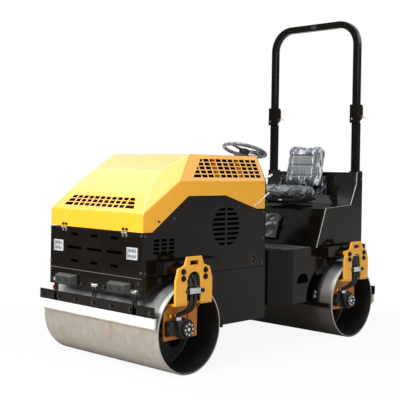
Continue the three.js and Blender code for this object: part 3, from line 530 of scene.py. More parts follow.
def edit_all(piece):
    """Opens a piece for editing with all of it selected."""
    only(piece)
    bpy.ops.object.mode_set(mode="EDIT")
    bpy.ops.mesh.select_all(action="SELECT")


def outward(piece):
    """Merges doubled points and turns every face outwards."""
    edit_all(piece)
    bpy.ops.mesh.remove_doubles(threshold=MERGE)
    bpy.ops.mesh.normals_make_consistent(inside=False)
    bpy.ops.object.mode_set(mode="OBJECT")
    return piece


def box(name, low, high, edge=0.0, segments=2):
    """A block between two corners, with its edges rounded."""
    clear_selection()
    bpy.ops.mesh.primitive_cube_add(
        size=1, location=[(a + b) / 2 for a, b in zip(low, high)])
    piece = bpy.context.object
    piece.name = name
    piece.scale = [abs(b - a) for a, b in zip(low, high)]
    settle(piece)
    return softened_edges(piece, edge, segments) if edge else piece


def rod(name, start, end, radius, sides=24, edge=0.0):
    """A round bar between two points, with its ends rounded."""
    clear_selection()
    along = Vector(end) - Vector(start)
    bpy.ops.mesh.primitive_cylinder_add(
        vertices=sides, radius=radius, depth=along.length,
        location=(Vector(start) + Vector(end)) / 2, rotation=along.to_track_quat("Z", "Y").to_euler())
    piece = bpy.context.object
    piece.name = name
    settle(piece)
    return softened_edges(piece, edge, 2, 50) if edge else piece


PLANES = {
    "plan": Matrix.Identity(4),
    "side": Matrix(((1, 0, 0, 0), (0, 0, 1, 0), (0, 1, 0, 0), (0, 0, 0, 1))),
    "front": Matrix(((0, 0, 1, 0), (1, 0, 0, 0), (0, 1, 0, 0), (0, 0, 0, 1))),
}


def drawn(name, spots):
    """A line from spot to spot, left open for editing with all of it selected."""
    clear_selection()
    bpy.ops.mesh.primitive_plane_add(size=0.01, location=spots[0])
    piece = bpy.context.object
    piece.name = name
    settle(piece)
    bpy.ops.object.mode_set(mode="EDIT")
    bpy.ops.mesh.select_mode(type="VERT")
    bpy.ops.mesh.select_all(action="SELECT")
    bpy.ops.mesh.merge(type="CENTER")
    for start, end in zip(spots, spots[1:]):
        bpy.ops.mesh.extrude_region_move(TRANSFORM_OT_translate={"value": end - start})
    bpy.ops.mesh.select_all(action="SELECT")
    return piece


def traced(name, outline, low, high, plane="side", edge=0.0, segments=2, angle=30):
    """An outline drawn corner by corner, filled and pushed from low to high across its plane.
    The plane is plan (XY), side (XZ), front (YZ) or a matrix."""
    lay = PLANES[plane] if isinstance(plane, str) else plane
    piece = drawn(name, [lay @ Vector((u, v, low)) for u, v in outline])
    bpy.ops.mesh.edge_face_add()
    push = (lay @ Vector((0, 0, high))) - (lay @ Vector((0, 0, low)))
    bpy.ops.mesh.extrude_region_move(TRANSFORM_OT_translate={"value": push})
    outward(piece)
    return softened_edges(piece, edge, segments, angle) if edge else piece


def turned(name, profile, centre, axis, steps=32):
    """A closed profile of (radius, height) points, spun once round an axis."""
    way = Vector(axis).normalized()
    sideways = way.orthogonal().normalized()
    spots = [Vector(centre) + sideways * radius + way * height for radius, height in profile]
    piece = drawn(name, [*spots, spots[0]])
    bpy.ops.mesh.spin(steps=steps, angle=2 * math.pi, center=centre, axis=way)
    return outward(piece)


def placed(master, matrix):
    """A copy of a master piece with its own mesh, moved by a matrix."""
    copy = bpy.data.objects.new(master.name, master.data.copy())
    bpy.context.scene.collection.objects.link(copy)
    copy.data.transform(matrix)
    return copy


def joined(name, pieces):
    clear_selection()
    for piece in pieces:
        piece.select_set(True)
    bpy.context.view_layer.objects.active = pieces[0]
    if len(pieces) > 1:
        bpy.ops.object.join()
    pieces[0].name = name
    return pieces[0]


def scattered(name, master, spots, direction):
    """Copies of a master that points up, set at each spot to point along a direction."""
    turn = Vector(direction).to_track_quat("Z", "Y").to_matrix().to_4x4()
    copies = [placed(master, Matrix.Translation(spot) @ turn) for spot in spots]
    return joined(name, copies)


def cut_out(piece, *tools):
    """Takes the tools' shapes out of a piece and clears the tools away."""
    for tool in tools:
        with_modifier(piece, "BOOLEAN", operation="DIFFERENCE", object=tool, solver="EXACT")
        bpy.data.objects.remove(tool)
    return piece


def piped(name, path, radius, sides=5):
    """A round tube along a smooth path."""
    line = bpy.data.curves.new(name, "CURVE")
    line.dimensions = "3D"
    line.bevel_depth = radius
    line.bevel_resolution = sides
    line.resolution_u = 6
    line.use_fill_caps = True
    spline = line.splines.new("BEZIER")
    spline.bezier_points.add(len(path) - 1)
    for knot, spot in zip(spline.bezier_points, path):
        knot.co = spot
        knot.handle_left_type = knot.handle_right_type = "AUTO"
    piece = bpy.data.objects.new(name, line)
    bpy.context.scene.collection.objects.link(piece)
    only(piece)
    bpy.ops.object.convert(target="MESH")
    return outward(bpy.context.object)


def finished(piece, body, slot, replaces=(), finish=None, smooth=32):
    """Shades a piece, gives it its finish and hangs it on its body."""
    settle(piece)
    bpy.ops.object.shade_smooth_by_angle(angle=math.radians(smooth))
    if smooth < 90:
        with_modifier(piece, "WEIGHTED_NORMAL", mode="FACE_AREA", weight=50, keep_sharp=True)
    piece.data.materials.clear()
    piece.data.materials.append(finish or finishes[slot])
    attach(piece, body)
    if replaces:
        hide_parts(*replaces)
    return piece


def copy_of_node(node):
    """A copy of a CAD node with its loose triangles merged and flat faces joined up."""
    source = frame["nodes"][node]
    piece = bpy.data.objects.new(node + "_shell", source.data.copy())
    bpy.context.scene.collection.objects.link(piece)
    edit_all(piece)
    bpy.ops.mesh.remove_doubles(threshold=MERGE)
    bpy.ops.mesh.dissolve_limited(angle_limit=math.radians(0.4))
    bpy.ops.object.mode_set(mode="OBJECT")
    return piece


def soften_node(node, width):
    """Stands a copy with rounded edges in for a CAD node."""
    piece = softened_edges(copy_of_node(node), width)
    return finished(piece, frame["nodes"][node]["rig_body"], slots[node], (node,))


# ------------------------------------------------------------------ fasteners

def bolt_master(radius=0.012, height=0.010):
    """A hexagon head on its washer, pointing up."""
    washer = rod("bolt", (0, 0, 0), (0, 0, 0.003), radius * 1.45, 16)
    head = rod("head", (0, 0, 0.003), (0, 0, 0.003 + height), radius, 6, radius * 0.12)
    return joined("bolt", [washer, head])


def cap_screw_master(radius=0.014, height=0.014):
    """A socket screw: a round head with its well, pointing up."""
    head = rod("cap_screw", (0, 0, 0), (0, 0, height), radius, 16)
    picked(head, "FACE", facing((0, 0, 1)))
    bpy.ops.mesh.inset(thickness=radius * 0.14)
    bpy.ops.transform.translate(value=(0, 0, radius * 0.10))
    bpy.ops.mesh.inset(thickness=radius * 0.36)
    bpy.ops.mesh.extrude_region_move(TRANSFORM_OT_translate={"value": (0, 0, -height * 0.6)})
    bpy.ops.object.mode_set(mode="OBJECT")
    return head


def dome_master(radius=0.009, height=0.004):
    """A low domed screw with a cross-cut, pointing up."""
    head = rod("dome_screw", (0, 0, 0), (0, 0, height), radius, 12)
    picked(head, "FACE", facing((0, 0, 1)))
    bpy.ops.mesh.inset(thickness=radius * 0.3)
    bpy.ops.transform.translate(value=(0, 0, height * 0.5))
    bpy.ops.mesh.inset(thickness=radius * 0.35)
    bpy.ops.transform.translate(value=(0, 0, -height * 0.7))
    bpy.ops.object.mode_set(mode="OBJECT")
    return head


hex_bolt = bolt_master()
cap_screw = cap_screw_master()
dome_screw = dome_master()
small_cap = cap_screw_master(0.0095, 0.010)


# ------------------------------------------------------------------ hood

SLOPE = [(FRONT, HOOD_EDGE + 0.120), (FRONT - 0.108, HOOD_EDGE + 0.251),
         (FRONT - 0.277, HOOD_EDGE + 0.402), (FRONT - 0.517, hood_high.z)]
CREASE_Z = HOOD_EDGE + 0.335
CREASE_X = FRONT - 0.336
TOP_HALF = HALF - 0.091
NOTCH_Z = HOOD_EDGE + 0.234
REAR_EDGE = HOOD_EDGE + 0.131
NOTCH = [(FRONT - 0.085, HOOD_EDGE), (FRONT - 0.419, NOTCH_Z),
         (FRONT - 0.799, NOTCH_Z), (hood_low.x + 0.092, REAR_EDGE)]


def bisected(piece, spot, outside):
    """Slices a piece by a plane and keeps what lies inside it."""
    edit_all(piece)
    bpy.ops.mesh.bisect(plane_co=spot, plane_no=outside, use_fill=True, clear_outer=True)
    bpy.ops.object.mode_set(mode="OBJECT")


def front_facet(sign):
    """Two corners of the facet between the slope and the side, and the way the facet looks."""
    corner = Vector((FRONT, sign * HALF, SLOPE[0][1]))
    crease = Vector((CREASE_X, sign * HALF, CREASE_Z))
    brow = Vector((SLOPE[3][0], sign * TOP_HALF, hood_high.z))
    normal = (crease - corner).cross(brow - corner).normalized()
    return corner, crease, normal if normal.x > 0 else -normal


def hood_form(name, inset=0.0):
    """The hood's faceted outer form, cut from a block."""
    form = box(name, (hood_low.x - inset, -HALF + inset, HOOD_EDGE - inset),
               (FRONT - inset, HALF - inset, hood_high.z - inset))
    for (x0, z0), (x1, z1) in zip(SLOPE, SLOPE[1:]):
        normal = Vector((z1 - z0, 0, x0 - x1)).normalized()
        bisected(form, Vector((x0, 0, z0)) - inset * normal, normal)
    for _, sign in SIDES:
        corner, crease, normal = front_facet(sign)
        bisected(form, corner - inset * normal, normal)
        normal = Vector((0, sign * (hood_high.z - CREASE_Z), HALF - TOP_HALF)).normalized()
        bisected(form, crease - inset * normal, normal)
    return form


def make_crease(side, sign):
    """The rounded fold between the slope and the corner facet, as thin rods painted pale as a highlight."""
    corner, _, normal = front_facet(sign)
    inward = Vector((-0.0018, -sign * 0.0008, -0.0022))
    path = []
    for x, z in SLOPE:
        across = (normal.x * (x - corner.x) + normal.z * (z - corner.z)) / normal.y
        path.append(Vector((x, corner.y - across, z)) + inward)
    folds = [rod("fold", start, end, 0.0040, 10) for start, end in zip(path, path[1:])]
    line = joined("crease", folds)
    finished(line, "hood", "yellow_paint", finish=painted_crease_highlight).name = f"hood_crease_{side}"


def slope_lay():
    """The front slope's own plane: U across, V up the slope, W out of it."""
    (x0, z0), (x1, z1) = SLOPE[:2]
    up = Vector((x1 - x0, 0, z1 - z0)).normalized()
    across = Vector((0, 1, 0))
    return Matrix.Translation((x0, 0, z0)) @ Matrix((across, up, across.cross(up))).transposed().to_4x4()


def facet_lay(sign):
    """The upper side facet's plane: U forwards, V up the facet, W out of it."""
    up = Vector((0, sign * (TOP_HALF - HALF), hood_high.z - CREASE_Z)).normalized()
    along = Vector((1, 0, 0))
    lay = Matrix((along, up, along.cross(up))).transposed().to_4x4()
    return Matrix.Translation((0, sign * HALF, CREASE_Z)) @ lay


def slot_cutter(lay, start, end, middle, half, slant=0.0, low=-0.03, high=0.03):
    """The cutter for one slot from start to end along a plane, its far end slanted back."""
    return traced("slot", [(start, middle - half), (end, middle - half), (end - slant, middle + half),
                           (start, middle + half)], low, high, lay)


def slope_slots():
    """Three rows of eleven slots, the end ones longer towards the bottom and slanted."""
    lay = slope_lay()
    (x0, z0), (x1, z1) = SLOPE[:2]
    rise = Vector((x1 - x0, z1 - z0)).length / (z1 - z0)
    half = 0.0128
    pitch = 0.0605
    inner = 0.0236
    tools = []
    for height, end in ((1.159, 0.328), (1.135, 0.347), (1.110, 0.363)):
        middle = (height - z0) * rise
        for column in range(-4, 5):
            across = column * pitch
            tools.append(slot_cutter(lay, across - inner, across + inner, middle, half))
        for sign in (1, -1):
            tools.append(slot_cutter(lay, sign * 0.280, sign * (end + 0.007), middle, half, sign * 0.012))
    return joined("slope_slots", tools)


def facet_slots(sign):
    """Five rows of short slots along the upper side, cut off along a slant at the front."""
    lay = facet_lay(sign)
    stretch = Vector((HALF - TOP_HALF, hood_high.z - CREASE_Z)).length / (hood_high.z - CREASE_Z)
    half = 0.0118
    pitch = 0.0645
    length = 0.055
    first = 0.0960
    tools = []
    for height, columns, limit in ((1.430, 9, 0.713), (1.403, 9, 0.736), (1.376, 10, 0.767),
                                   (1.348, 10, 0.795), (1.320, 10, 0.825)):
        middle = (height - CREASE_Z) * stretch
        spans = [(first + column * pitch, first + column * pitch + length, 0)
                 for column in range(columns)]
        spans.append((first + columns * pitch, limit, 0.019))
        for start, end, slant in spans:
            tools.append(slot_cutter(lay, start, end, middle, half, slant))
    return joined("facet_slots", tools)


def make_hood():
    wall = 0.003
    shell = hood_form("hood_shell")
    picked(shell, "FACE", lambda face: face.normal.z < -0.9 or face.normal.x < -0.9)
    bpy.ops.mesh.delete(type="FACE")
    softened_edges(shell, 0.007, 3, 6)
    with_modifier(shell, "SOLIDIFY", thickness=wall, offset=-1, use_even_offset=True)
    notch = box("notch", (hood_low.x + 0.05, -0.6, 0.9), (NOTCH[0][0], 0.6, NOTCH_Z))
    for (x0, z0), (x1, z1) in (NOTCH[:2], NOTCH[2:]):
        bisected(notch, (x0, 0, z0), Vector((z1 - z0, 0, x0 - x1)))
    heel = box("heel", (hood_low.x - 0.05, -0.6, 0.9), (hood_low.x + 0.094, 0.6, REAR_EDGE))
    cut_out(shell, notch, heel, slope_slots(), *[facet_slots(sign) for _, sign in SIDES])
    finished(shell, "hood", "yellow_paint", ("hood",), smooth=20)

    ribs = []
    for x in (0.2925, 0.5505, 0.845):
        outer = hood_form("rib", wall + 0.008)
        bisected(outer, (x + 0.010, 0, 0), (1, 0, 0))
        bisected(outer, (x - 0.010, 0, 0), (-1, 0, 0))
        core = box("core", (x - 0.1, -HALF + 0.028, 0.9), (x + 0.1, HALF - 0.028, CREASE_Z - 0.012))
        crown = traced("crown", [(HALF - 0.028, CREASE_Z - 0.02), (TOP_HALF - 0.024, hood_high.z - 0.028),
                                 (0.024 - TOP_HALF, hood_high.z - 0.028),
                                 (0.028 - HALF, CREASE_Z - 0.02)],
                       x - 0.1, x + 0.1, "front")
        foot = box("foot", (x - 0.1, -0.6, 0.9), (x + 0.1, 0.6, NOTCH_Z + 0.012))
        ribs.append(cut_out(outer, core, crown, foot))
    # The ribs take the darker orange, painted shade for the inside of the hood
    finished(joined("hood_ribs", ribs), "hood", "yellow_paint", finish=rib_painted_shade)
    (x0, z0), (x1, z1) = SLOPE[:2]
    strip = [(x0 - 0.075, z0 - 0.030), (x1 - 0.075, z1 - 0.030), (x1 - 0.090, z1 - 0.042),
             (x0 - 0.090, z0 - 0.042)]
    foam = traced("foam", strip, -HALF + 0.04, HALF - 0.04, "side")
    finished(foam, "hood", "rubber").name = "hood_foam"

    for side, sign in SIDES:
        y = sign * HALF
        stop = rod("stop", (FRONT - 0.141, y - sign * 0.004, 1.017),
                   (FRONT - 0.141, y + sign * 0.005, 1.017), 0.009, 16, 0.002)
        finished(stop, "hood", "rubber").name = f"hood_stop_{side}"
        points = [(0.172, y + sign * 0.002, 1.110), (0.162, y + sign * 0.010, 1.117),
                  (0.063, y + sign * 0.010, 1.176), (0.027, y + sign * 0.010, 1.198)]
        bars = [rod("latch", start, end, 0.0042, 12, 0.001) for start, end in zip(points, points[1:])]
        ends = scattered("latch_ends", dome_screw, [(0.180, y, 1.106), (0.063, y, 1.176)], (0, sign, 0))
        latch = joined(f"hood_latch_{side}", [*bars, ends])
        finished(latch, "hood", "chrome")


make_hood()
for side, sign in SIDES:
    make_crease(side, sign)

for side, sign in SIDES:
    y = sign * (HALF - 0.168)
    pin_x = FRONT + 0.009
    pin_z = HOOD_EDGE - 0.009
    fingers = [box("finger", (FRONT + 0.0004, y + across - 0.0065, HOOD_EDGE - 0.034),
                   (FRONT + 0.008, y + across + 0.0065, HOOD_EDGE - 0.006), 0.002)
               for across in (-0.017, 0.017)]
    knuckles = [rod("knuckle", (pin_x, y + start, pin_z), (pin_x, y + start + 0.016, pin_z), 0.0062, 16,
                    0.0012)
                for start in (-0.025, 0.009)]
    pin = rod("pin", (pin_x, y - 0.027, pin_z), (pin_x, y + 0.027, pin_z), 0.0032, 10)
    hinge = joined(f"hinge_{side}", [*fingers, *knuckles, pin])
    finished(hinge, "front_frame", "chrome", (f"hood_hinge_{side}",), zinc)
    spots = [(FRONT, y + across, HOOD_EDGE + 0.016) for across in (-0.017, 0.017)]
    finished(scattered(f"hinge_bolts_{side}", small_cap, spots, (1, 0, 0)), "hood", "console")


# ------------------------------------------------------------------ front panel, lamps and side panels

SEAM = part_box("front_panel")[0].z
DECK_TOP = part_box("front_bumper")[1].z
BEAM_TOP = SEAM + 0.108
BEAM_LONG = 0.320
BEAM_SHORT = 0.225
lamp_low, lamp_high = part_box("headlight_left")


def make_front_panel():
    low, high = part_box("front_panel")
    sheet = box("panel", low, high, 0.003, 3)
    pitch = 0.213
    gap = 0.0005
    tools = []
    for height, half in ((HOOD_EDGE - 0.051, 0.0385), (HOOD_EDGE - 0.145, 0.0765),
                         (SEAM + 0.060, 0.0385)):
        for column in (-1, 0, 1):
            tools.append(box("slot", (low.x - 0.02, column * pitch - half, height - 0.010),
                             (high.x + 0.02, column * pitch + half, height + 0.010), 0.004, 2))
    for _, sign in SIDES:
        tools.append(box("lamp_hole", (low.x - 0.02, sign * (lamp_low.y - gap), lamp_low.z - gap),
                         (high.x + 0.02, sign * (lamp_high.y + gap), lamp_high.z + gap)))
    cut_out(sheet, joined("slots", tools))
    finished(sheet, "front_frame", "black_paint", ("front_panel",), smooth=25).name = "slotted_panel"
    # A near-black sheet behind the slots, painted shade seen through them
    shade_card = box("shade_card", (low.x - 0.018, -0.310, SEAM + 0.030),
                 (low.x - 0.014, 0.310, HOOD_EDGE - 0.020), 0.001)
    finished(shade_card, "front_frame", "black_paint", finish=painted_shade_black).name = "front_shade_card"


def make_lamp(side, sign):
    """A square work lamp: a case, a frame and six dished emitters."""
    low = Vector((lamp_low.x, min(sign * lamp_low.y, sign * lamp_high.y), lamp_low.z))
    high = Vector((lamp_high.x, max(sign * lamp_low.y, sign * lamp_high.y), lamp_high.z))
    low, high = low + Vector((0, 0.004, 0.004)), high - Vector((0, 0.004, 0.004))
    rim = 0.007
    depth = 0.012
    case = box("case", low, high, 0.004, 2)
    picked(case, "FACE", facing((1, 0, 0)))
    bpy.ops.mesh.inset(thickness=rim)
    bpy.ops.mesh.extrude_region_move(TRANSFORM_OT_translate={"value": (-depth, 0, 0)})
    bpy.ops.object.mode_set(mode="OBJECT")
    finished(case, "front_frame", "lamp", (f"headlight_{side}",)).name = f"lamp_case_{side}"
    width = (high.y - low.y - 2 * rim) / 3
    height = (high.z - low.z - 2 * rim) / 2
    radius = min(width, height) / 2 - 0.0015
    dish = turned("dish", [(0.0001, 0.0015), (radius * 0.86, 0.004), (radius * 0.92, 0.006),
                           (radius, 0.006), (radius, 0.0), (0.0001, 0.0)], (0, 0, 0), (0, 0, 1), 16)
    spots = [(high.x - depth, low.y + rim + (column + 0.5) * width, low.z + rim + (row + 0.5) * height)
             for column in range(3) for row in range(2)]
    dishes = scattered(f"lamp_dishes_{side}", dish, spots, (1, 0, 0))
    bpy.data.objects.remove(dish)
    finished(dishes, "front_frame", "lamp")
    chip = rod("chip", (0, 0, 0), (0, 0, 0.0075), radius * 0.62, 12, 0.001)
    chips = scattered(f"lamp_chips_{side}", chip, spots, (1, 0, 0))
    bpy.data.objects.remove(chip)
    finished(chips, "front_frame", "console", finish=lamp_grey)


def panel_screws(name, spots, direction, body, master=None, slot="console"):
    """A row of dark screws or bolts on a panel."""
    return finished(scattered(name, master or dome_screw, spots, direction), body, slot, finish=dark_zinc)


def make_front_side(side, sign):
    """A glossy side sheet under the hood, with its round vent, small louvres and access cap."""
    low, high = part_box(f"front_side_panel_{side}")
    drop = 0.006
    axle = AXLES["front"]
    outline = [(FRONT, SEAM), (FRONT, HOOD_EDGE - drop), *[(x, z - drop) for x, z in NOTCH],
               (hood_low.x, REAR_EDGE - drop), (hood_low.x, SEAM), (axle - BEAM_LONG, SEAM),
               (axle - BEAM_LONG, BEAM_TOP), (axle + BEAM_SHORT, BEAM_TOP), (axle + BEAM_SHORT, SEAM)]
    sheet = traced("side_sheet", outline, low.y, high.y, "side", 0.0022, 2)
    across = (low.y - 0.03, high.y + 0.03)
    cap_x = 0.191
    cap_z = 0.711
    x = axle - 0.471
    z = NOTCH_Z - 0.221
    radius = 0.145
    pitch = 0.035
    half = 0.0095
    post = 0.011
    tools = []
    for row in range(8):
        height = (row - 3.5) * pitch
        ends = [math.sqrt(radius ** 2 - (height + step) ** 2) for step in (-half, half)]
        for way in (1, -1):
            tools.append(slot_cutter("side", x + way * post, x + way * ends[0], z + height, half,
                                     way * (ends[0] - ends[1]), *across))
    for column in range(3):
        for row in range(4):
            start = FRONT - 0.290 + column * 0.0695
            height = HOOD_EDGE - 0.137 + row * 0.027
            tools.append(box("louvre", (start, across[0], height - 0.0095),
                             (start + 0.050, across[1], height + 0.0095)))
    cut_out(sheet, joined("vents", tools),
            rod("cap_hole", (cap_x, across[0], cap_z), (cap_x, across[1], cap_z), 0.031, 32))
    finished(sheet, "front_frame", "black_paint", (f"front_side_panel_{side}",), smooth=25)
    sheet.name = f"vented_side_{side}"
    face = sign * HALF
    # A dark orange-brown ring round the access cap
    ring = turned("ring", [(0.031, -0.004), (0.031, 0.002), (0.035, 0.002), (0.035, 0.0)],
                  (cap_x, face, cap_z), (0, sign, 0), 32)
    ring.name = f"cap_ring_{side}"
    finished(ring, "front_frame", "rubber", finish=dark_brown_paint)
    cap = turned("cap", [(0.0001, -0.002), (0.014, -0.002), (0.018, -0.009), (0.031, -0.009),
                         (0.031, -0.014), (0.0001, -0.014)], (cap_x, face, cap_z), (0, sign, 0), 32)
    cap.name = f"access_cap_{side}"
    finished(cap, "front_frame", "rubber")
    screws = [(1.281, face, 0.925), (1.281, face, 0.686), (1.018, face, 1.032), (0.080, face, 1.051),
              (0.085, face, 0.863), (0.091, face, 0.676)]
    panel_screws(f"side_screws_{side}", screws, (0, sign, 0), "front_frame", slot="black_paint")
    # Near-black sheets behind the round vent and the louvres, painted shade seen through them
    back = face - sign * 0.062
    near = face - sign * 0.056
    shade_card = box("shade_card", (x - 0.17, back, z - 0.17), (x + 0.17, near, z + 0.17), 0.002)
    louvres = box("louvres", (FRONT - 0.31, back, HOOD_EDGE - 0.17),
                  (FRONT - 0.06, near, HOOD_EDGE - 0.03), 0.002)
    finished(joined(f"vent_shade_cards_{side}", [shade_card, louvres]), "front_frame", "black_paint",
             finish=painted_shade_black)


lamp_grey = gloss_paint("lamp_grey", (0.16, 0.16, 0.165), (0.10, 0.10, 0.105), 0.3, 0.02)
dark_brown_paint = gloss_paint("dark_brown_paint", (0.050, 0.022, 0.010), (0.028, 0.014, 0.008), 0.35, 0.05)
make_front_panel()
for side, sign in SIDES:
    make_lamp(side, sign)
    make_front_side(side, sign)
# A grey lip along the seam, its colour a painted edge highlight
lip = box("seam_lip", (FRONT - 0.010, -HALF + 0.004, DECK_TOP - 0.001),
          (FRONT + 0.003, HALF - 0.004, DECK_TOP + 0.0022), 0.0008)
finished(lip, "front_frame", "black_paint", finish=painted_edge_highlight)
panel_screws("panel_screws", [(FRONT, sign * 0.478, z) for _, sign in SIDES for z in (0.929, 0.688)],
             (1, 0, 0), "front_frame", slot="black_paint")


# ------------------------------------------------------------------ bumpers, buffers and scrapers

def make_buffer(unit, side, way):
    """A cast block with sloped flanks and two bolts sunk in its face."""
    node = f"{unit}_buffer_{side}"
    low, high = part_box(node)
    tip = high.x if way > 0 else low.x
    centre = (low.y + high.y) / 2
    bolt_z = 0.572
    block = box("buffer", (low.x, low.y + 0.007, low.z + 0.008), (high.x, high.y - 0.007, high.z - 0.012))
    tapered(block, facing((way, 0, 0)), (1, 0.757, 0.664), (tip, centre, (low.z + high.z) / 2))
    softened_edges(block, 0.006, 3, 20)
    holes = [rod("hole", (tip - way * 0.010, centre + across, bolt_z),
                 (tip + way * 0.02, centre + across, bolt_z), 0.013, 20) for across in (-0.045, 0.045)]
    cut_out(block, *holes)
    finished(block, f"{unit}_frame", "dark_grey", (node,)).name = f"{unit}_stop_block_{side}"
    bolts = scattered(f"{unit}_stop_bolts_{side}", hex_bolt,
                      [(tip - way * 0.0105, centre + across, bolt_z) for across in (-0.045, 0.045)],
                      (way, 0, 0))
    finished(bolts, f"{unit}_frame", "console", finish=finishes["rubber"])


def make_scraper(unit, way):
    """The angle bar with its white strip, hung on sprung adjuster rods."""
    node = f"{unit}_scraper_outer"
    low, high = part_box(node)
    axle = AXLES[unit]
    half = high.y
    out = axle + way * (DRUM_RADIUS + 0.038)
    drum_side = axle + way * (DRUM_RADIUS + 0.006)
    bumper_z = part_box(f"{unit}_bumper")[0].z
    top = low.z + 0.150
    foot = low.z + 0.080
    inner = out - way * 0.008
    outline = [(drum_side, foot), (out, foot), (out, top), (inner, top), (inner, foot + 0.010),
               (drum_side, foot + 0.010)]
    angle = traced("angle", outline, -half, half, "side", 0.0015)
    finished(angle, f"{unit}_frame", "black_paint", (node,)).name = f"{unit}_scraper_bar"
    strip_top = low.z + 0.0795
    strip = box("strip", (drum_side, -half + 0.010, low.z),
                (drum_side + way * 0.010, half - 0.010, strip_top), 0.002)
    backing = box("backing", (drum_side + way * 0.0105, -half + 0.006, low.z + 0.012),
                  (drum_side + way * 0.0255, half - 0.006, strip_top), 0.002)
    strip = joined(f"{unit}_wear_strip", [strip, backing])
    finished(strip, f"{unit}_frame", "lamp", finish=strip_white)
    spread = [-0.57 + 0.19 * step for step in range(7)]
    panel_screws(f"{unit}_strip_bolts", [(out, y, low.z + 0.112) for y in spread], (way, 0, 0),
                 f"{unit}_frame", hex_bolt, slot="console")
    hangers = [box("hanger", (out - way * 0.010, y - 0.019, foot), (out, y + 0.019, bumper_z), 0.0015)
               for y in (-0.420, 0.420)]
    finished(joined(f"{unit}_scraper_hangers", hangers), f"{unit}_frame", "black_paint")
    knob_x = out - way * 0.004
    start = top - 0.02
    head = bumper_z + 0.029
    for name, y in (("right", -0.415), ("middle", 0.010), ("left", 0.411)):
        pins = [rod("pin", (knob_x, y + across, start), (knob_x, y + across, head), 0.0055, 12)
                for across in (-0.014, 0.014)]
        coils = [turned("coil", [(0.0058, 0), (0.0095, 0.002), (0.0058, 0.004)],
                        (knob_x, y + across, start + 0.030 + step * 0.0062), (0, 0, 1), 12)
                 for across in (-0.014, 0.014) for step in range(7)]
        knob = rod("knob", (knob_x, y - 0.026, head), (knob_x, y + 0.026, head), 0.012, 16, 0.004)
        wings = [box("wing", (knob_x - 0.004, y + across - 0.012, head - 0.003),
                     (knob_x + 0.004, y + across + 0.012, head + 0.017), 0.003)
                 for across in (-0.024, 0.024)]
        finished(joined(f"{unit}_adjuster_{name}", [*pins, *coils]), f"{unit}_frame", "chrome",
                 finish=dark_zinc)
        finished(joined(f"{unit}_adjuster_knob_{name}", [knob, *wings]), f"{unit}_frame", "chrome")
    if way > 0:
        cap = rod("cap", (out + 0.002, -0.440, top + 0.010), (out + 0.002, -0.440, top + 0.038), 0.008,
                  12, 0.002)
        finished(cap, "front_frame", "console", finish=red_plastic).name = "red_cap"


for unit, way in UNITS:
    for side, _ in SIDES:
        make_buffer(unit, side, way)
    make_scraper(unit, way)
    x = way * FRONT
    spots = [(x, sign * y, 0.560) for _, sign in SIDES for y in (0.462, 0.118)]
    spots += [(x, sign * 0.462, 0.620) for _, sign in SIDES]
    panel_screws(f"{unit}_bumper_bolts", spots, (way, 0, 0), f"{unit}_frame", hex_bolt,
                 slot="black_paint")


# ------------------------------------------------------------------ drums, brackets and motors

def inner_and_outer(node, sign):
    """The near and far side of a node that stands out to one side."""
    low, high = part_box(node)
    near, far = sorted((abs(low.y), abs(high.y)))
    return sign * near, sign * far


def ring_of_spots(centre, radius, count, first=0.0):
    """Spots round a centre, in the plane of the machine's side."""
    turns = [first + step * 2 * math.pi / count for step in range(count)]
    return [(centre[0] + radius * math.cos(turn), centre[1], centre[2] + radius * math.sin(turn))
            for turn in turns]


def make_drum(unit):
    """A rolled shell with pierced webs set in, on its axle."""
    node = f"{unit}_drum"
    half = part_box(node)[1].y
    centre = (AXLES[unit], 0, DRUM_RADIUS)
    inner = DRUM_RADIUS - 0.016
    far = [(DRUM_RADIUS, half / 3), (DRUM_RADIUS, half - 0.006), (DRUM_RADIUS - 0.0012, half - 0.002),
           (DRUM_RADIUS - 0.005, half), (inner + 0.002, half), (inner, half - 0.002)]
    near = [(radius, -height) for radius, height in reversed(far)]
    shell = turned("shell", [*near, *far], centre, (0, 1, 0), 128)
    parts = [shell]
    for _, sign in SIDES:
        face = sign * (half - 0.270)
        web = rod("web", (centre[0], face - sign * 0.020, centre[2]), (centre[0], face, centre[2]),
                  inner + 0.001, 96)
        holes = [rod("hole", (x, face - sign * 0.05, z), (x, face + sign * 0.05, z), 0.055, 28)
                 for x, _, z in ring_of_spots(centre, 0.175, 4, math.pi / 4)]
        parts.append(cut_out(web, joined("holes", holes)))
        parts.append(turned("weld", [(inner - 0.008, 0), (inner + 0.001, 0.009), (inner + 0.001, -0.002)],
                            (centre[0], face, centre[2]), (0, sign, 0), 64))
        hub = [(0.0001, 0.030), (0.060, 0.030), (0.066, 0.024), (0.072, 0.010), (0.092, 0.0),
               (0.092, -0.005), (0.0001, -0.005)]
        parts.append(turned("hub", hub, (centre[0], face, centre[2]), (0, sign, 0), 32))
        spots = ring_of_spots((centre[0], face + sign * 0.002, centre[2]), 0.080, 8)
        parts.append(scattered("hub_bolts", hex_bolt, spots, (0, sign, 0)))
    parts.append(rod("axle", (centre[0], -half + 0.28, centre[2]), (centre[0], half - 0.28, centre[2]),
                     0.070, 32))
    parts.append(rod("stub", (centre[0], -0.502, centre[2]), (centre[0], 0.502, centre[2]), 0.035, 24))
    drum = joined(f"{unit}_roller", parts)
    finished(drum, node, "drum_steel", (node,), smooth=30)


BRACKET_HALF = 0.175
SHELF_Z = 0.487
PLATE_INSIDE = 0.497
PLATE_OUTSIDE = 0.513


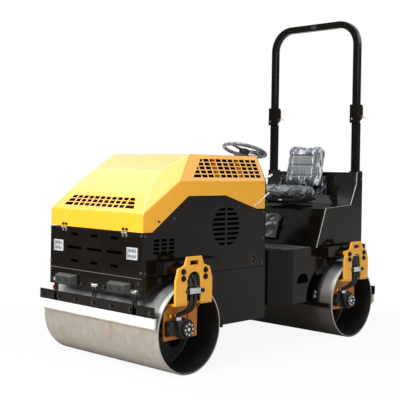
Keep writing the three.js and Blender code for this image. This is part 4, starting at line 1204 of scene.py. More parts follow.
def bracket_outline(axle):
    """The bracket's outer plate, with its arched hose slot."""
    half = BRACKET_HALF
    shelf = SHELF_Z
    top = BRACKET_TOP
    edge = [(half, shelf), (half, SEAM - 0.012), (0.149, top - 0.075), (0.092, top - 0.055), (0.069, top)]
    arch = [(0.066 * math.cos(turn * math.pi / 12), top - 0.166 + 0.066 * math.sin(turn * math.pi / 12))
            for turn in range(13)]
    corners = [(0.066, shelf), *edge, *[(-x, z) for x, z in reversed(edge)], (-0.066, shelf),
               *reversed(arch)]
    return [(axle + x, z) for x, z in corners]


def make_bracket(unit, side, sign):
    """A plate bracket that steps in over the drum's rim: outer plate, shelf and motor plate."""
    node = f"{unit}_bracket_{side}"
    axle = AXLES[unit]
    thick = 0.016
    face = sign * BRACKET_FACE
    inside = sign * PLATE_INSIDE
    plate = traced("plate", bracket_outline(axle), face - sign * thick, face, "side", 0.0035, 3, 40)
    eye = traced("eye", [(axle - 0.045, BRACKET_TOP - 0.056), (axle + 0.045, BRACKET_TOP - 0.056),
                         (axle + 0.040, BRACKET_TOP - 0.026), (axle - 0.040, BRACKET_TOP - 0.026)],
                 face - sign * 0.05, face + sign * 0.05, "side", 0.003, 2)
    cut_out(plate, eye)
    shelf = box("shelf", (axle - BRACKET_HALF, inside, SHELF_Z - thick),
                (axle + BRACKET_HALF, face, SHELF_Z), 0.0035, 3)
    cut_out(shelf, box("gap", (axle - 0.066, sign * 0.575, 0.40),
                       (axle + 0.066, face + sign * 0.02, 0.55)))
    inner = box("inner", (axle - 0.160, inside, 0.228), (axle + 0.160, sign * PLATE_OUTSIDE, 0.480),
                0.0035, 3)
    cut_out(inner, rod("bore", (axle, inside - sign * 0.05, AXLE_Z), (axle, inside + sign * 0.10, AXLE_Z),
                       0.0365, 32),
            box("slit", (axle - 0.072, inside - sign * 0.05, 0.345),
                (axle - 0.060, inside + sign * 0.05, 0.440), 0.004))
    lay = Matrix(((0, 0, 1, 0), (sign, 0, 0, 0), (0, 1, 0, 0), (0, 0, 0, 1)))
    corners = [(PLATE_OUTSIDE, 0.472), (0.560, 0.472), (PLATE_OUTSIDE, 0.420)]
    gussets = [traced("gusset", corners, x, x + 0.010, lay) for x in (axle - 0.158, axle + 0.148)]
    pads = [rod("pad", (axle + end, sign * BEAM_SIDE, SEAM + 0.044),
                (axle + end, sign * 0.620, SEAM + 0.044), 0.020, 24)
            for end in (-0.092, 0.092)]
    bracket = joined(f"{unit}_drum_bracket_{side}", [plate, shelf, inner, *gussets, *pads])
    finished(bracket, f"{unit}_frame", "yellow_paint", (node,), bracket_yellow, smooth=30)
    spots = [(axle + end, face, z) for end in (-0.105, 0.105) for z in (0.695, 0.650)]
    finished(scattered(f"{unit}_bracket_bolts_{side}", big_bolt, spots, (0, sign, 0)), f"{unit}_frame",
             "console", finish=finishes["black_paint"])


def make_motor(unit, side, sign):
    """A hydraulic motor on the bracket's plate: flange, ribbed barrel, bright end and port block."""
    node = f"{unit}_motor_{side}"
    axle = AXLES[unit]
    start, end = inner_and_outer(node, sign)
    length = abs(end - start)
    centre = (axle, start, AXLE_Z)
    way = (0, sign, 0)
    body = turned("body", [(0.0001, 0.0), (0.0695, 0.0), (0.0695, 0.014), (0.067, 0.016), (0.063, 0.017),
                           (0.063, 0.026), (0.069, 0.028), (0.069, 0.034), (0.066, 0.036), (0.066, 0.046),
                           (0.069, 0.048), (0.069, 0.056), (0.062, 0.062),
                           (0.0001, 0.062)], centre, way, 48)
    port = box("port", (axle + 0.030, start + sign * 0.004, 0.320),
               (axle + 0.082, start + sign * 0.056, 0.362), 0.004)
    arm = box("arm", (axle - 0.030, start + sign * 0.0005, 0.258),
              (axle + 0.153, start + sign * 0.028, 0.362), 0.012, 3)
    ring = ring_of_spots((axle, start + sign * 0.015, AXLE_Z), 0.056, 6, math.pi / 6)
    ring += [(axle + 0.135, start + sign * 0.026, z) for z in (0.280, 0.340)]
    bolts = scattered("flange_bolts", hex_bolt, ring, way)
    finished(joined(f"{unit}_drum_motor_{side}", [body, port, arm, bolts]), f"{unit}_frame", "cast_iron",
             (node,))
    cap = turned("cap", [(0.0001, 0.062), (0.048, 0.062), (0.052, 0.065), (0.052, length - 0.003),
                         (0.049, length), (0.020, length), (0.017, length - 0.006),
                         (0.0001, length - 0.006)], centre, way, 48)
    ring = ring_of_spots((axle, start + sign * (length - 0.002), AXLE_Z), 0.036, 8)
    finished(cap, f"{unit}_frame", "cast_iron").name = f"{unit}_motor_end_{side}"
    bolts = scattered("cap_bolts", small_bolt, ring, way)
    plug = rod("plug", (axle, start + sign * (length - 0.008), AXLE_Z),
               (axle, start + sign * (length - 0.001), AXLE_Z), 0.0135, 6, 0.001)
    finished(joined(f"{unit}_motor_plug_{side}", [plug, bolts]), f"{unit}_frame", "chrome")
    caps = scattered(f"{unit}_bleed_caps_{side}", dome_cap,
                     [(axle + 0.117, sign * 0.528, 0.384), (axle + 0.066, sign * 0.528, 0.384)],
                     (0, 0, 1))
    finished(caps, f"{unit}_frame", "chrome", finish=brass)


def make_hoses(unit, side, sign):
    """Two hoses out of the beam, down the slot and in to the motor, under a bright clamp."""
    node = f"{unit}_hoses_{side}"
    axle = AXLES[unit]
    lane = BRACKET_FACE - 0.013
    port_y = 0.545
    top = SEAM + 0.003
    runs = []
    ends = []
    for offset in (-0.020, 0.020):
        x = axle + offset
        port_x = axle + 0.056 + offset / 2
        path = [(x, BEAM_SIDE, top), (x, BEAM_SIDE + 0.018, top - 0.004), (x, lane - 0.006, top - 0.036),
                (x, lane, 0.560), (x, lane, 0.490), (x + 0.012, lane - 0.016, 0.440),
                (x + 0.028, lane - 0.052, 0.413), (port_x, port_y + 0.008, 0.398),
                (port_x, port_y, 0.378), (port_x, port_y, 0.3625)]
        runs.append(piped("hose", [(x, sign * y, z) for x, y, z in path], 0.0125, 5))
        ends.append(rod("ferrule", (port_x, sign * port_y, 0.3625), (port_x, sign * port_y, 0.386),
                        0.0145, 20, 0.002))
        ends.append(rod("nut", (port_x, sign * port_y, 0.362), (port_x, sign * port_y, 0.371), 0.0175, 6,
                        0.001))
    sleeve = box("sleeve", (axle - 0.042, sign * (lane - 0.015), 0.556),
                 (axle + 0.042, sign * (lane + 0.012), 0.570), 0.003)
    finished(joined(f"{unit}_motor_hoses_{side}", runs + [sleeve]), f"{unit}_frame", "rubber", (node,),
             smooth=50)
    finished(joined(f"{unit}_hose_ends_{side}", ends), f"{unit}_frame", "chrome", finish=zinc)
    face = sign * BRACKET_FACE
    clamp = box("clamp", (axle - 0.052, face + sign * 0.0004, 0.544),
                (axle + 0.052, face + sign * 0.011, 0.582), 0.004, 3)
    strap = box("strap", (axle - 0.084, face + sign * 0.0003, 0.553),
                (axle + 0.084, face + sign * 0.005, 0.573), 0.001)
    picked(clamp, "FACE", facing((0, sign, 0)))
    bpy.ops.mesh.inset(thickness=0.003)
    bpy.ops.transform.translate(value=(0, -sign * 0.0015, 0))
    bpy.ops.object.mode_set(mode="OBJECT")
    finished(joined(f"{unit}_hose_clamp_{side}", [clamp, strap]), f"{unit}_frame", "chrome", finish=zinc)
    screws = scattered(f"{unit}_clamp_screws_{side}", cap_screw,
                       [(axle + end, face + sign * 0.004, 0.563) for end in (-0.070, 0.070)],
                       (0, sign, 0))
    finished(screws, f"{unit}_frame", "console", finish=finishes["rubber"])


big_bolt = bolt_master(0.0140, 0.012)
small_bolt = bolt_master(0.0055, 0.005)
dome_cap = rod("dome_cap", (0, 0, 0), (0, 0, 0.020), 0.0075, 12, 0.002)
for unit, _ in UNITS:
    make_drum(unit)
    for side, sign in SIDES:
        make_bracket(unit, side, sign)
        make_motor(unit, side, sign)
        make_hoses(unit, side, sign)


# ------------------------------------------------------------------ engine bay

def make_engine():
    """A small diesel across the bay: radiator and fan in front, pumps behind."""
    low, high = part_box("engine")
    body = "front_frame"
    middle = (low.x + high.x) / 2
    crank = low.z + 0.13
    fan_z = low.z + 0.195
    top = low.z + 0.29
    block = box("block", (middle - 0.20, -0.13, low.z + 0.02), (middle + 0.16, 0.13, low.z + 0.22), 0.012)
    sump = box("sump", (middle - 0.17, -0.10, low.z), (middle + 0.13, 0.10, low.z + 0.03), 0.008)
    head = box("head", (middle - 0.19, -0.085, low.z + 0.22), (middle + 0.15, 0.085, top), 0.008)
    cover = box("cover", (middle - 0.17, -0.060, top), (middle + 0.13, 0.060, low.z + 0.335), 0.014, 3)
    fins = [box("fin", (middle - 0.19 + step * 0.034, -0.10, low.z + 0.225),
                (middle - 0.178 + step * 0.034, 0.10, low.z + 0.282), 0.002) for step in range(10)]
    wheel = rod("flywheel", (middle - 0.255, 0, crank), (middle - 0.20, 0, crank), 0.115, 40, 0.01)
    pump = rod("pump", (low.x, 0, crank), (middle - 0.25, 0, crank), 0.055, 24, 0.01)
    pulley = turned("pulley", [(0.0001, 0), (0.050, 0), (0.042, 0.010), (0.050, 0.020), (0.0001, 0.020)],
                    (middle + 0.162, 0, low.z + 0.10), (1, 0, 0), 32)
    spots = [(middle - 0.15 + step * 0.07, y, low.z + 0.330) for step in range(4)
             for y in (0.050, -0.050)]
    bolts = scattered("bolts", hex_bolt, spots, (0, 0, 1))
    parts = [block, sump, head, cover, *fins, wheel, pump, pulley, bolts]
    finished(joined("diesel_block", parts), body, "cast_iron", ("engine",))
    core = box("core", (high.x - 0.060, -0.27, low.z + 0.01), (high.x - 0.005, 0.27, high.z - 0.005),
               0.004)
    ribs = [box("rib", (high.x - 0.062, -0.25 + step * 0.02, low.z + 0.03),
                (high.x - 0.003, -0.246 + step * 0.02, high.z - 0.025)) for step in range(26)]
    cowl = turned("cowl", [(0.17, 0), (0.185, 0.06), (0.20, 0.06), (0.19, -0.005)],
                  (high.x - 0.125, 0, fan_z), (1, 0, 0), 40)
    finished(joined("radiator", [core, *ribs, cowl]), body, "cast_iron", finish=finishes["console"])
    blade = traced("blade", [(0.02, -0.02), (0.155, -0.035), (0.16, 0.03), (0.02, 0.02)], -0.004, 0.004,
                   "plan", 0.002)
    turns = [Matrix.Translation((high.x - 0.095, 0, fan_z)) @ Matrix.Rotation(step * math.pi / 3, 4, "X")
             @ Matrix.Rotation(math.pi / 2, 4, "Y") @ Matrix.Rotation(0.5, 4, "X") for step in range(6)]
    fan = [placed(blade, turn) for turn in turns]
    bpy.data.objects.remove(blade)
    hub = rod("hub", (high.x - 0.11, 0, fan_z), (high.x - 0.07, 0, fan_z), 0.035, 24, 0.006)
    finished(joined("fan", fan + [hub]), body, "console")
    filter_can = rod("filter", (middle - 0.16, 0.20, top), (middle + 0.14, 0.20, top), 0.075, 32, 0.010)
    intake = piped("intake", [(middle - 0.02, 0.135, top), (middle - 0.03, 0.09, low.z + 0.30),
                              (middle - 0.03, 0.04, low.z + 0.28)], 0.024)
    finished(joined("air_filter", [filter_can, intake]), body, "console")
    muffler = rod("muffler", (middle - 0.15, -0.20, low.z + 0.27), (middle + 0.15, -0.20, low.z + 0.27),
                  0.070, 32, 0.014)
    tail = piped("tail", [(middle - 0.10, -0.14, low.z + 0.27), (middle - 0.10, -0.09, low.z + 0.26),
                          (middle - 0.10, -0.06, low.z + 0.24)], 0.020)
    finished(joined("silencer", [muffler, tail]), body, "cast_iron", finish=dark_brown_paint)
    case = box("battery", (low.x + 0.01, -0.27, low.z + 0.005), (low.x + 0.19, -0.13, low.z + 0.17),
               0.008)
    posts = [rod("post", (low.x + x, -0.20, low.z + 0.17), (low.x + x, -0.20, low.z + 0.185), 0.008, 12,
                 0.002)
             for x in (0.04, 0.16)]
    finished(joined("battery", [case, *posts]), body, "console")
    for number, (y, z) in enumerate(((0.10, 0.05), (0.13, 0.10), (-0.09, 0.06))):
        line = piped("line", [(low.x + 0.02, y * 0.3, low.z + 0.15), (low.x + 0.05, y, low.z + 0.16 + z),
                              (middle - 0.10, y * 1.5, low.z + 0.10 + z),
                              (middle + 0.05, y * 1.6, low.z + 0.02)], 0.011)
        finished(line, body, "rubber").name = f"engine_line_{number}"


make_engine()


# ------------------------------------------------------------------ frames and rear body

for node, edge in (("front_chassis", 0.0025), ("rear_chassis", 0.0025), ("front_bumper", 0.002),
                   ("rear_bumper", 0.002), ("front_scraper_inner", 0.001), ("rear_scraper_inner", 0.001),
                   ("steering_cylinder_barrel", 0.0015), ("steering_cylinder_rod", 0.001)):
    soften_node(node, edge)
for side, _ in SIDES:
    soften_node(f"step_side_{side}", 0.002)
    soften_node(f"hoop_post_{side}", 0.002)

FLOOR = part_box("floor_mat")[0].z
REAR_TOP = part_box("seat_box")[1].z
back_low, back_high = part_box("rear_side_panel_left")
REAR_FACE = back_low.x
axle = AXLES["rear"]
BODY_EDGE = [(axle + 0.353, FLOOR + 0.0003), (axle + 0.231, 1.063), (axle - 0.126, 1.083),
             (axle - 0.207, back_high.z - 0.109), (axle - 0.221, back_high.z), (REAR_FACE, back_high.z)]


def make_rear_side(side, sign):
    """One side sheet of the operator's platform, notched over the beam's end."""
    face = sign * HALF
    beam = [(REAR_FACE, SEAM), (axle - BEAM_SHORT, SEAM), (axle - BEAM_SHORT, BEAM_TOP),
            (axle + BEAM_LONG, BEAM_TOP), (axle + BEAM_LONG, FLOOR + 0.0003)]
    sheet = traced("sheet", [*BODY_EDGE, *beam], face - sign * SHEET, face, "side", 0.0035, 3, 25)
    finished(sheet, "rear_frame", "black_paint",
             (f"rear_side_panel_{side}",)).name = f"platform_side_{side}"
    # Pale strips along the top edges, their colour a painted edge highlight
    rim = []
    for (x0, z0), (x1, z1) in zip(BODY_EDGE[:4], BODY_EDGE[1:5]):
        run = Vector((x1 - x0, 0, z1 - z0)).normalized()
        out = Vector((run.z, 0, -run.x))
        out = out if out.z + out.x > 0 else -out
        rim.append(traced("lip", [(x0, z0), (x1, z1), (x1 + out.x * 0.0022, z1 + out.z * 0.0022),
                                  (x0 + out.x * 0.0022, z0 + out.z * 0.0022)],
                          face - sign * 0.0075, face - sign * 0.0005, "side", 0.0007))
    finished(joined(f"platform_lips_{side}", rim), "rear_frame", "black_paint", finish=painted_lip_highlight)
    spots = [(axle + along, face, z) for along, z in
             ((-0.270, 1.30), (-0.270, 0.80), (0.262, 0.80), (0.215, 0.99))]
    panel_screws(f"platform_screws_{side}", spots, (0, sign, 0), "rear_frame", slot="black_paint")
    bolts = scattered(f"fender_bolts_{side}", hex_bolt,
                      [(axle + 0.334, sign * 0.462, 0.386), (axle + 0.341, sign * 0.462, 0.353)],
                      (1, 0, 0.2))
    finished(bolts, "rear_frame", "console", finish=zinc)


def make_seat_box():
    """Footwell front, seat deck and the raised back, as one folded sheet box."""
    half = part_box("seat_box")[1].y
    outline = [(axle + 0.348, FLOOR + 0.004), *[(x, z - 0.002) for x, z in BODY_EDGE[1:]],
               (REAR_FACE, FLOOR + 0.014)]
    shell = traced("seat_box", outline, -half, half, "side", 0.004, 3, 25)
    hollow = traced("hollow", [(axle + 0.265, FLOOR - 0.05), (axle + 0.205, 1.035), (axle - 0.145, 1.045),
                               (axle - 0.235, 1.270), (axle - 0.240, 1.340), (REAR_FACE + 0.02, 1.340),
                               (REAR_FACE + 0.02, FLOOR - 0.05)], -half + 0.02, half - 0.02, "side")
    notch = box("notch", (axle - BEAM_SHORT, -0.6, SEAM), (axle + BEAM_LONG, 0.6, SEAM + 0.107))
    cut_out(shell, hollow, notch)
    finished(shell, "rear_frame", "black_paint", ("seat_box",)).name = "platform_box"
    door = box("door", (REAR_FACE - 0.005, -0.33, 0.83), (REAR_FACE - 0.0003, 0.33, 1.28), 0.0)
    rounded(door, long_in(0, 0.003), 0.03, 5)
    softened_edges(door, 0.0015, 2, 40)
    finished(door, "rear_frame", "black_paint").name = "rear_door"
    hinges = [rod("hinge", (REAR_FACE - 0.006, y, 0.826), (REAR_FACE - 0.006, y + 0.07, 0.826), 0.006, 12,
                  0.001)
              for y in (-0.27, 0.20)]
    finished(joined("rear_door_hinges", hinges), "rear_frame", "black_paint")
    path = [(REAR_FACE - out, y, 1.235) for out, y in
            ((0.004, -0.055), (0.026, -0.05), (0.028, 0.0), (0.026, 0.05), (0.004, 0.055))]
    grip = piped("grip", path, 0.006, 3)
    finished(grip, "rear_frame", "console", finish=dark_zinc).name = "rear_door_grip"
    for side, sign in SIDES:
        y = sign * 0.40
        lamp = rod("tail_lamp", (REAR_FACE - 0.016, y, 1.30), (REAR_FACE - 0.0003, y, 1.30), 0.034, 28,
                   0.004)
        finished(lamp, "rear_frame", "lamp", finish=red_plastic).name = f"tail_lamp_{side}"
    spots = [(REAR_FACE, sign * 0.452, z) for _, sign in SIDES for z in (0.80, 1.05, 1.33)]
    panel_screws("rear_face_screws", spots, (-1, 0, 0), "rear_frame", slot="black_paint")


def make_floor_mat():
    """A ribbed rubber mat on the step box."""
    low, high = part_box("floor_mat")
    base = box("mat", low, (high.x, high.y, high.z - 0.002), 0.0015)
    count = 44
    pitch = (high.y - low.y - 0.04) / count
    ribs = [box("rib", (low.x + 0.015, low.y + 0.02 + step * pitch, high.z - 0.003),
                (high.x - 0.015, low.y + 0.02 + (step + 0.45) * pitch, high.z)) for step in range(count)]
    finished(joined("ribbed_mat", [base, *ribs]), "rear_frame", "rubber", ("floor_mat",),
             finish=dusty_mat)


def dusty_rubber():
    finish = Finish("dusty_mat")
    dust = finish.step(finish.noise(7, 6, 0.65), 0.35, 0.65)
    colour = finish.mix(dust * 0.6, (0.035, 0.037, 0.040), (0.14, 0.15, 0.165))
    return finish.surface(colour, 0.34 + dust * 0.2,
                          normal=finish.bump(finish.noise(140, 4), 0.0006, 0.5))


dusty_mat = dusty_rubber()
for side, sign in SIDES:
    make_rear_side(side, sign)
make_seat_box()
make_floor_mat()


# ------------------------------------------------------------------ seat

def pad_form(name, low, high, corner, edge, thickness_axis):
    """A slab with rounded corners and edges, ready to swell."""
    pad = box(name, low, high)
    rounded(pad, long_in(thickness_axis, 0.03), corner)
    return softened_edges(pad, edge, 4, 40)


def swollen(pad, cap):
    """Remeshes a pad and swells it like stuffed cloth, with no point moving further than cap."""
    with_modifier(pad, "REMESH", mode="VOXEL", voxel_size=0.006)
    starts = [vertex.co.copy() for vertex in pad.data.vertices]
    only(pad)
    cloth = pad.modifiers.new("cloth", "CLOTH")
    cloth.settings.use_pressure = True
    cloth.settings.uniform_pressure_force = 4
    cloth.settings.effector_weights.gravity = 0
    for step in range(1, 21):
        bpy.context.scene.frame_set(step)
    bpy.ops.object.modifier_apply(modifier="cloth")
    for vertex, start in zip(pad.data.vertices, starts):
        move = vertex.co - start
        if move.length > cap:
            vertex.co = start + move.normalized() * cap
    bpy.context.scene.frame_set(1)
    return with_modifier(pad, "SUBSURF", levels=1, render_levels=1)


def ease(value, low, high):
    """0 below low, 1 above high and smooth between."""
    share = min(max((value - low) / (high - low), 0), 1)
    return share * share * (3 - 2 * share)


def crumple(spot, scale, seed):
    """The height of sharp folds at a spot, from 0 in the hollows to 1 on a crease."""
    here = Vector((spot.x * scale, spot.y * scale * 0.8, spot.z * scale * 0.55))
    here += Vector((seed, seed * 0.7, 0))
    bend = noise.noise(here * 0.5) * 1.6
    return (1 - abs(noise.noise(here + Vector((bend, bend, 0))))) ** 6


CHANNELS = (0.103, 0.196, 0.283)


def shape_back(spot):
    """Bolsters down both sides, three sewn channels across, and film folds round them."""
    front = ease(spot.x, -0.070, -0.035)
    middle = 1 - ease(abs(spot.y), 0.108, 0.140)
    side_seam = math.exp(-((abs(spot.y) - 0.120) / 0.007) ** 2)
    channels = sum(math.exp(-((spot.z - height) / 0.006) ** 2) for height in CHANNELS)
    panel = middle * ease(spot.z, CHANNELS[0] - 0.003, CHANNELS[0] + 0.005)
    panel *= 1 - ease(spot.z, 0.283, 0.295)
    narrow = 0.10 * ease(spot.z, 0.10, 0.38)
    inward = 0.016 * middle + 0.008 * side_seam * ease(spot.z, 0.02, 0.06) + 0.009 * channels * middle
    folds = (0.0060 * crumple(spot, 8, 3.1) + 0.0030 * crumple(spot, 17, 7.7)) * (1 - 0.9 * panel)
    outward_fold = Vector((spot.x + 0.052, spot.y * 0.2, (spot.z - 0.2) * 0.2)).normalized()
    return Vector((-inward * front, -spot.y * narrow, 0)) + outward_fold * folds


def shape_cushion(spot):
    """A dished top with raised sides, a rolled front edge and film folds."""
    top = ease(spot.z, 0.0, 0.03)
    sides = ease(abs(spot.y), 0.13, 0.19)
    seam = math.exp(-((abs(spot.y) - 0.135) / 0.006) ** 2)
    seam += math.exp(-((spot.x - 0.11) / 0.006) ** 2) * (1 - sides)
    drop = ease(spot.x, 0.10, 0.20) * 0.012 + 0.010 * (1 - sides) + 0.005 * seam
    folds = 0.0090 * crumple(spot, 7, 1.3) + 0.0030 * crumple(spot, 15, 5.9)
    way = Vector((spot.x * 0.25, spot.y * 0.25, spot.z + 0.02)).normalized()
    return Vector((0, 0, -drop * top)) + way * folds


def shaped(pad, move):
    for vertex in pad.data.vertices:
        vertex.co += move(vertex.co)
    return pad


LEAN = math.radians(9)
BACK_THICK = 0.105
rest_low, rest_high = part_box("seat_back")
SEAT_HINGE = (rest_high.x, 0, rest_low.z + BACK_THICK * math.sin(LEAN))
BACK_HEIGHT = (rest_high.z - SEAT_HINGE[2]) / math.cos(LEAN)


def wrapped_back():
    """The seat's film with three plain vinyl panels down the middle of the back, and painted highlights
    along its creases and at the panel borders.
    """
    finish = Finish("wrapped_back")
    upward = (finish.axis("Z") - SEAT_HINGE[2]) * math.cos(LEAN)
    height = upward - (finish.axis("X") - SEAT_HINGE[0]) * math.sin(LEAN)
    across = abs(finish.axis("Y"))
    panel = 1 - finish.step(across, 0.094, 0.104)
    panel = panel * finish.step(height, CHANNELS[0] - 0.003, CHANNELS[0] + 0.006)
    panel = panel * (1 - finish.step(height, 0.283, 0.291))
    seam = finish.band(height, CHANNELS[0], 0.007) + finish.band(height, CHANNELS[1], 0.008)
    seam = (seam + finish.band(height, CHANNELS[2], 0.008)) * (1 - finish.step(across, 0.105, 0.115))
    long_way = finish.warped(3.0, 0.12, finish.stretched((1.0, 1.9, 0.30)))
    ridges = 1 - finish.step(finish.cells(8, long_way), 0.0, 0.12)
    creases = 1 - finish.step(abs(finish.noise(8, 3, 0.5, long_way) - 0.5), 0.0, 0.035)
    # Painted highlight: glints along the creases and a bright line at each panel border
    painted_sheen = finish.step(finish.noise(5.5, 2, 0.5, long_way), 0.46, 0.62)
    painted_border_glint = finish.band(across, 0.106, 0.006) * finish.step(height, 0.09, 0.11)
    painted_glints = finish.step(ridges * 0.45 + creases * 0.45 + painted_sheen * 0.40 + painted_border_glint * 0.5, 0.30, 1.05)
    vinyl = finish.mix(panel, (0.070, 0.074, 0.082), (0.150, 0.152, 0.157))
    # The glints mixed in blue-white, partly clouded film and partly painted highlight
    with_painted_glints = finish.mix(painted_glints * (0.92 - panel * 0.84), vinyl, (0.74, 0.81, 0.90))
    colour = finish.mix(finish.node("Math", {"operation": "MINIMUM"}, {0: seam * 0.85, 1: 0.85}), with_painted_glints,
                        (0.020, 0.021, 0.024))
    grain = finish.noise(420, 3)
    bumps = (ridges * 0.7 + creases * 0.8) * (1 - panel * 0.75) + grain * 0.05
    return finish.surface(colour, 0.12 + panel * 0.16 + grain * 0.1,
                          normal=finish.bump(bumps, 0.010, 0.7), Coat_Weight=0.5, Coat_Roughness=0.05)


def make_seat():
    lean = Matrix.Translation(SEAT_HINGE) @ Matrix.Rotation(-LEAN, 4, "Y")
    back = pad_form("seat_back_pad", (-0.097, -0.192, 0.008), (-0.008, 0.192, BACK_HEIGHT - 0.009), 0.055,
                    0.022, 0)
    shaped(swollen(back, 0.024), shape_back)
    back.data.transform(lean)
    finished(back, "rear_frame", "vinyl", ("seat_back",), wrapped_back(), smooth=180)
    low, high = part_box("seat_cushion")
    centre = (low + high) / 2
    half = (high - low) / 2 - Vector((0.010, 0.010, 0.009))
    cushion = pad_form("seat_cushion_pad", -half, half, 0.055, 0.024, 2)
    shaped(swollen(cushion, 0.024), shape_cushion)
    cushion.data.transform(Matrix.Translation(centre))
    finished(cushion, "rear_frame", "vinyl", ("seat_cushion",), seat_film, smooth=180)


def make_seat_base():
    """Slide rails on a pleated suspension box, hinge plates beside the cushion and a release lever."""
    low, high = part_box("seat_base")
    pleats = []
    pitch = (high.z - low.z - 0.034) / 2
    for step in range(2):
        floor = low.z + 0.012 + step * pitch
        pleat = box("pleat", (low.x + 0.02, low.y + 0.02, floor),
                    (high.x - 0.02, high.y - 0.02, floor + pitch))
        pleats.append(tapered(pleat, lambda face: abs(face.normal.z) > 0.9, (0.93, 0.92, 1),
                              (low + high) / 2))
    plate = box("plate", low, (high.x, high.y, low.z + 0.012), 0.002)
    tray = box("tray", (low.x - 0.02, low.y - 0.02, high.z - 0.022),
               (high.x + 0.06, high.y + 0.02, high.z - 0.006), 0.003)
    rails = [box("rail", (low.x - 0.01, sign * 0.130 - 0.014, high.z - 0.034),
                 (high.x + 0.05, sign * 0.130 + 0.014, high.z - 0.020), 0.002) for _, sign in SIDES]
    finished(joined("seat_suspension", [plate, *pleats, tray, *rails]), "rear_frame", "console",
             ("seat_base",))
    hub_x, hub_z = SEAT_HINGE[0] - 0.038, SEAT_HINGE[2] + 0.012
    for side, sign in SIDES:
        y = sign * 0.222
        outline = [(hub_x + along, hub_z + up) for along, up in (
            (-0.040, -0.072), (0.105, -0.072), (0.105, -0.032), (0.025, 0), (0.013, 0.083),
            (-0.027, 0.090),
            (-0.053, -0.007))]
        plate = traced("hinge_plate", outline, y, y + sign * 0.006, "side", 0.002)
        pivot = rod("pivot", (hub_x, y, hub_z), (hub_x, y + sign * 0.016, hub_z), 0.030, 28, 0.004)
        lever = piped("lever", [(hub_x, y + sign * 0.014, hub_z),
                                (hub_x + 0.035, y + sign * 0.022, hub_z - 0.027),
                                (hub_x + 0.080, y + sign * 0.024, hub_z - 0.055),
                                (hub_x + 0.110, y + sign * 0.024, hub_z - 0.062)], 0.008)
        finished(joined(f"recliner_{side}", [plate, pivot, lever]), "rear_frame", "console",
                 finish=wrapped_black)
    catch = rod("catch", (high.x + 0.07, 0.08, high.z - 0.020), (high.x + 0.07, 0.12, high.z - 0.020),
                0.0035, 12, 0.001)
    finished(catch, "rear_frame", "chrome").name = "slide_catch"


seat_film = clear_film("wrapped_vinyl_seat", (0.020, 0.021, 0.024), 0.80)
make_seat()
make_seat_base()


# ------------------------------------------------------------------ wheel, console and lever

WHEEL_CENTRE = Vector((-0.266, 0, 1.525))
TILT = math.radians(17)


def round_profile(radius, wide, tall, count):
    """An oval section for a ring, as (radius, height) points."""
    turns = [step * 2 * math.pi / count for step in range(count)]
    return [(radius + wide * math.cos(turn), tall * math.sin(turn)) for turn in turns]


def make_wheel():
    """A dished three-spoke wheel, its rim still in film."""
    grip_radius = 0.171
    rim = turned("rim", round_profile(grip_radius, 0.0165, 0.0150, 12), (0, 0, 0), (0, 0, 1), 72)
    for vertex in rim.data.vertices:
        angle = math.atan2(vertex.co.y, vertex.co.x)
        grip = Vector((math.cos(angle), math.sin(angle), 0)) * grip_radius
        vertex.co = grip + (vertex.co - grip) * (1
                                                 + 0.10 * noise.noise(Vector((angle * 9, vertex.co.z * 60,
                                                     0))))
    turn = Matrix.Translation(WHEEL_CENTRE) @ Matrix.Rotation(-TILT, 4, "Y")
    rim.data.transform(turn)
    finished(rim, "steering_wheel", "console", ("steering_wheel",), wrapped_rim, 60).name = "wheel_rim"
    spokes = []
    for step in range(3):
        spoke = traced("spoke", [(0.020, -0.030), (0.060, -0.020), (0.120, -0.013), (0.164, -0.016),
                                 (0.164, 0.016), (0.120, 0.013), (0.060, 0.020),
                                 (0.020, 0.030)], -0.010, 0.000, "plan",
                       0.003, 2)
        spoke.data.transform(Matrix.Rotation(step * 2 * math.pi / 3, 4, "Z"))
        spokes.append(spoke)
    hub = turned("hub", [(0.0001, -0.030), (0.036, -0.030), (0.042, -0.020), (0.044, 0.002),
                         (0.040, 0.008), (0.026, 0.010), (0.024, 0.013), (0.0001, 0.015)], (0, 0, 0), (0,
                         0, 1), 36)
    middle = joined("wheel_hub", spokes + [hub])
    middle.data.transform(turn)
    finished(middle, "steering_wheel", "console")
    sleeve = box("spoke_film", (0.052, -0.026, -0.017), (0.158, 0.026, 0.006))
    diced(sleeve, 9)
    for vertex in sleeve.data.vertices:
        vertex.co += Vector((0, vertex.co.y, vertex.co.z)) * 0.5 * (crumple(vertex.co, 40, 6.6) - 0.3)
    sleeve.data.transform(turn @ Matrix.Rotation(2 * math.pi / 3, 4, "Z"))
    finished(sleeve, "steering_wheel", "console", finish=wrapped_rim)


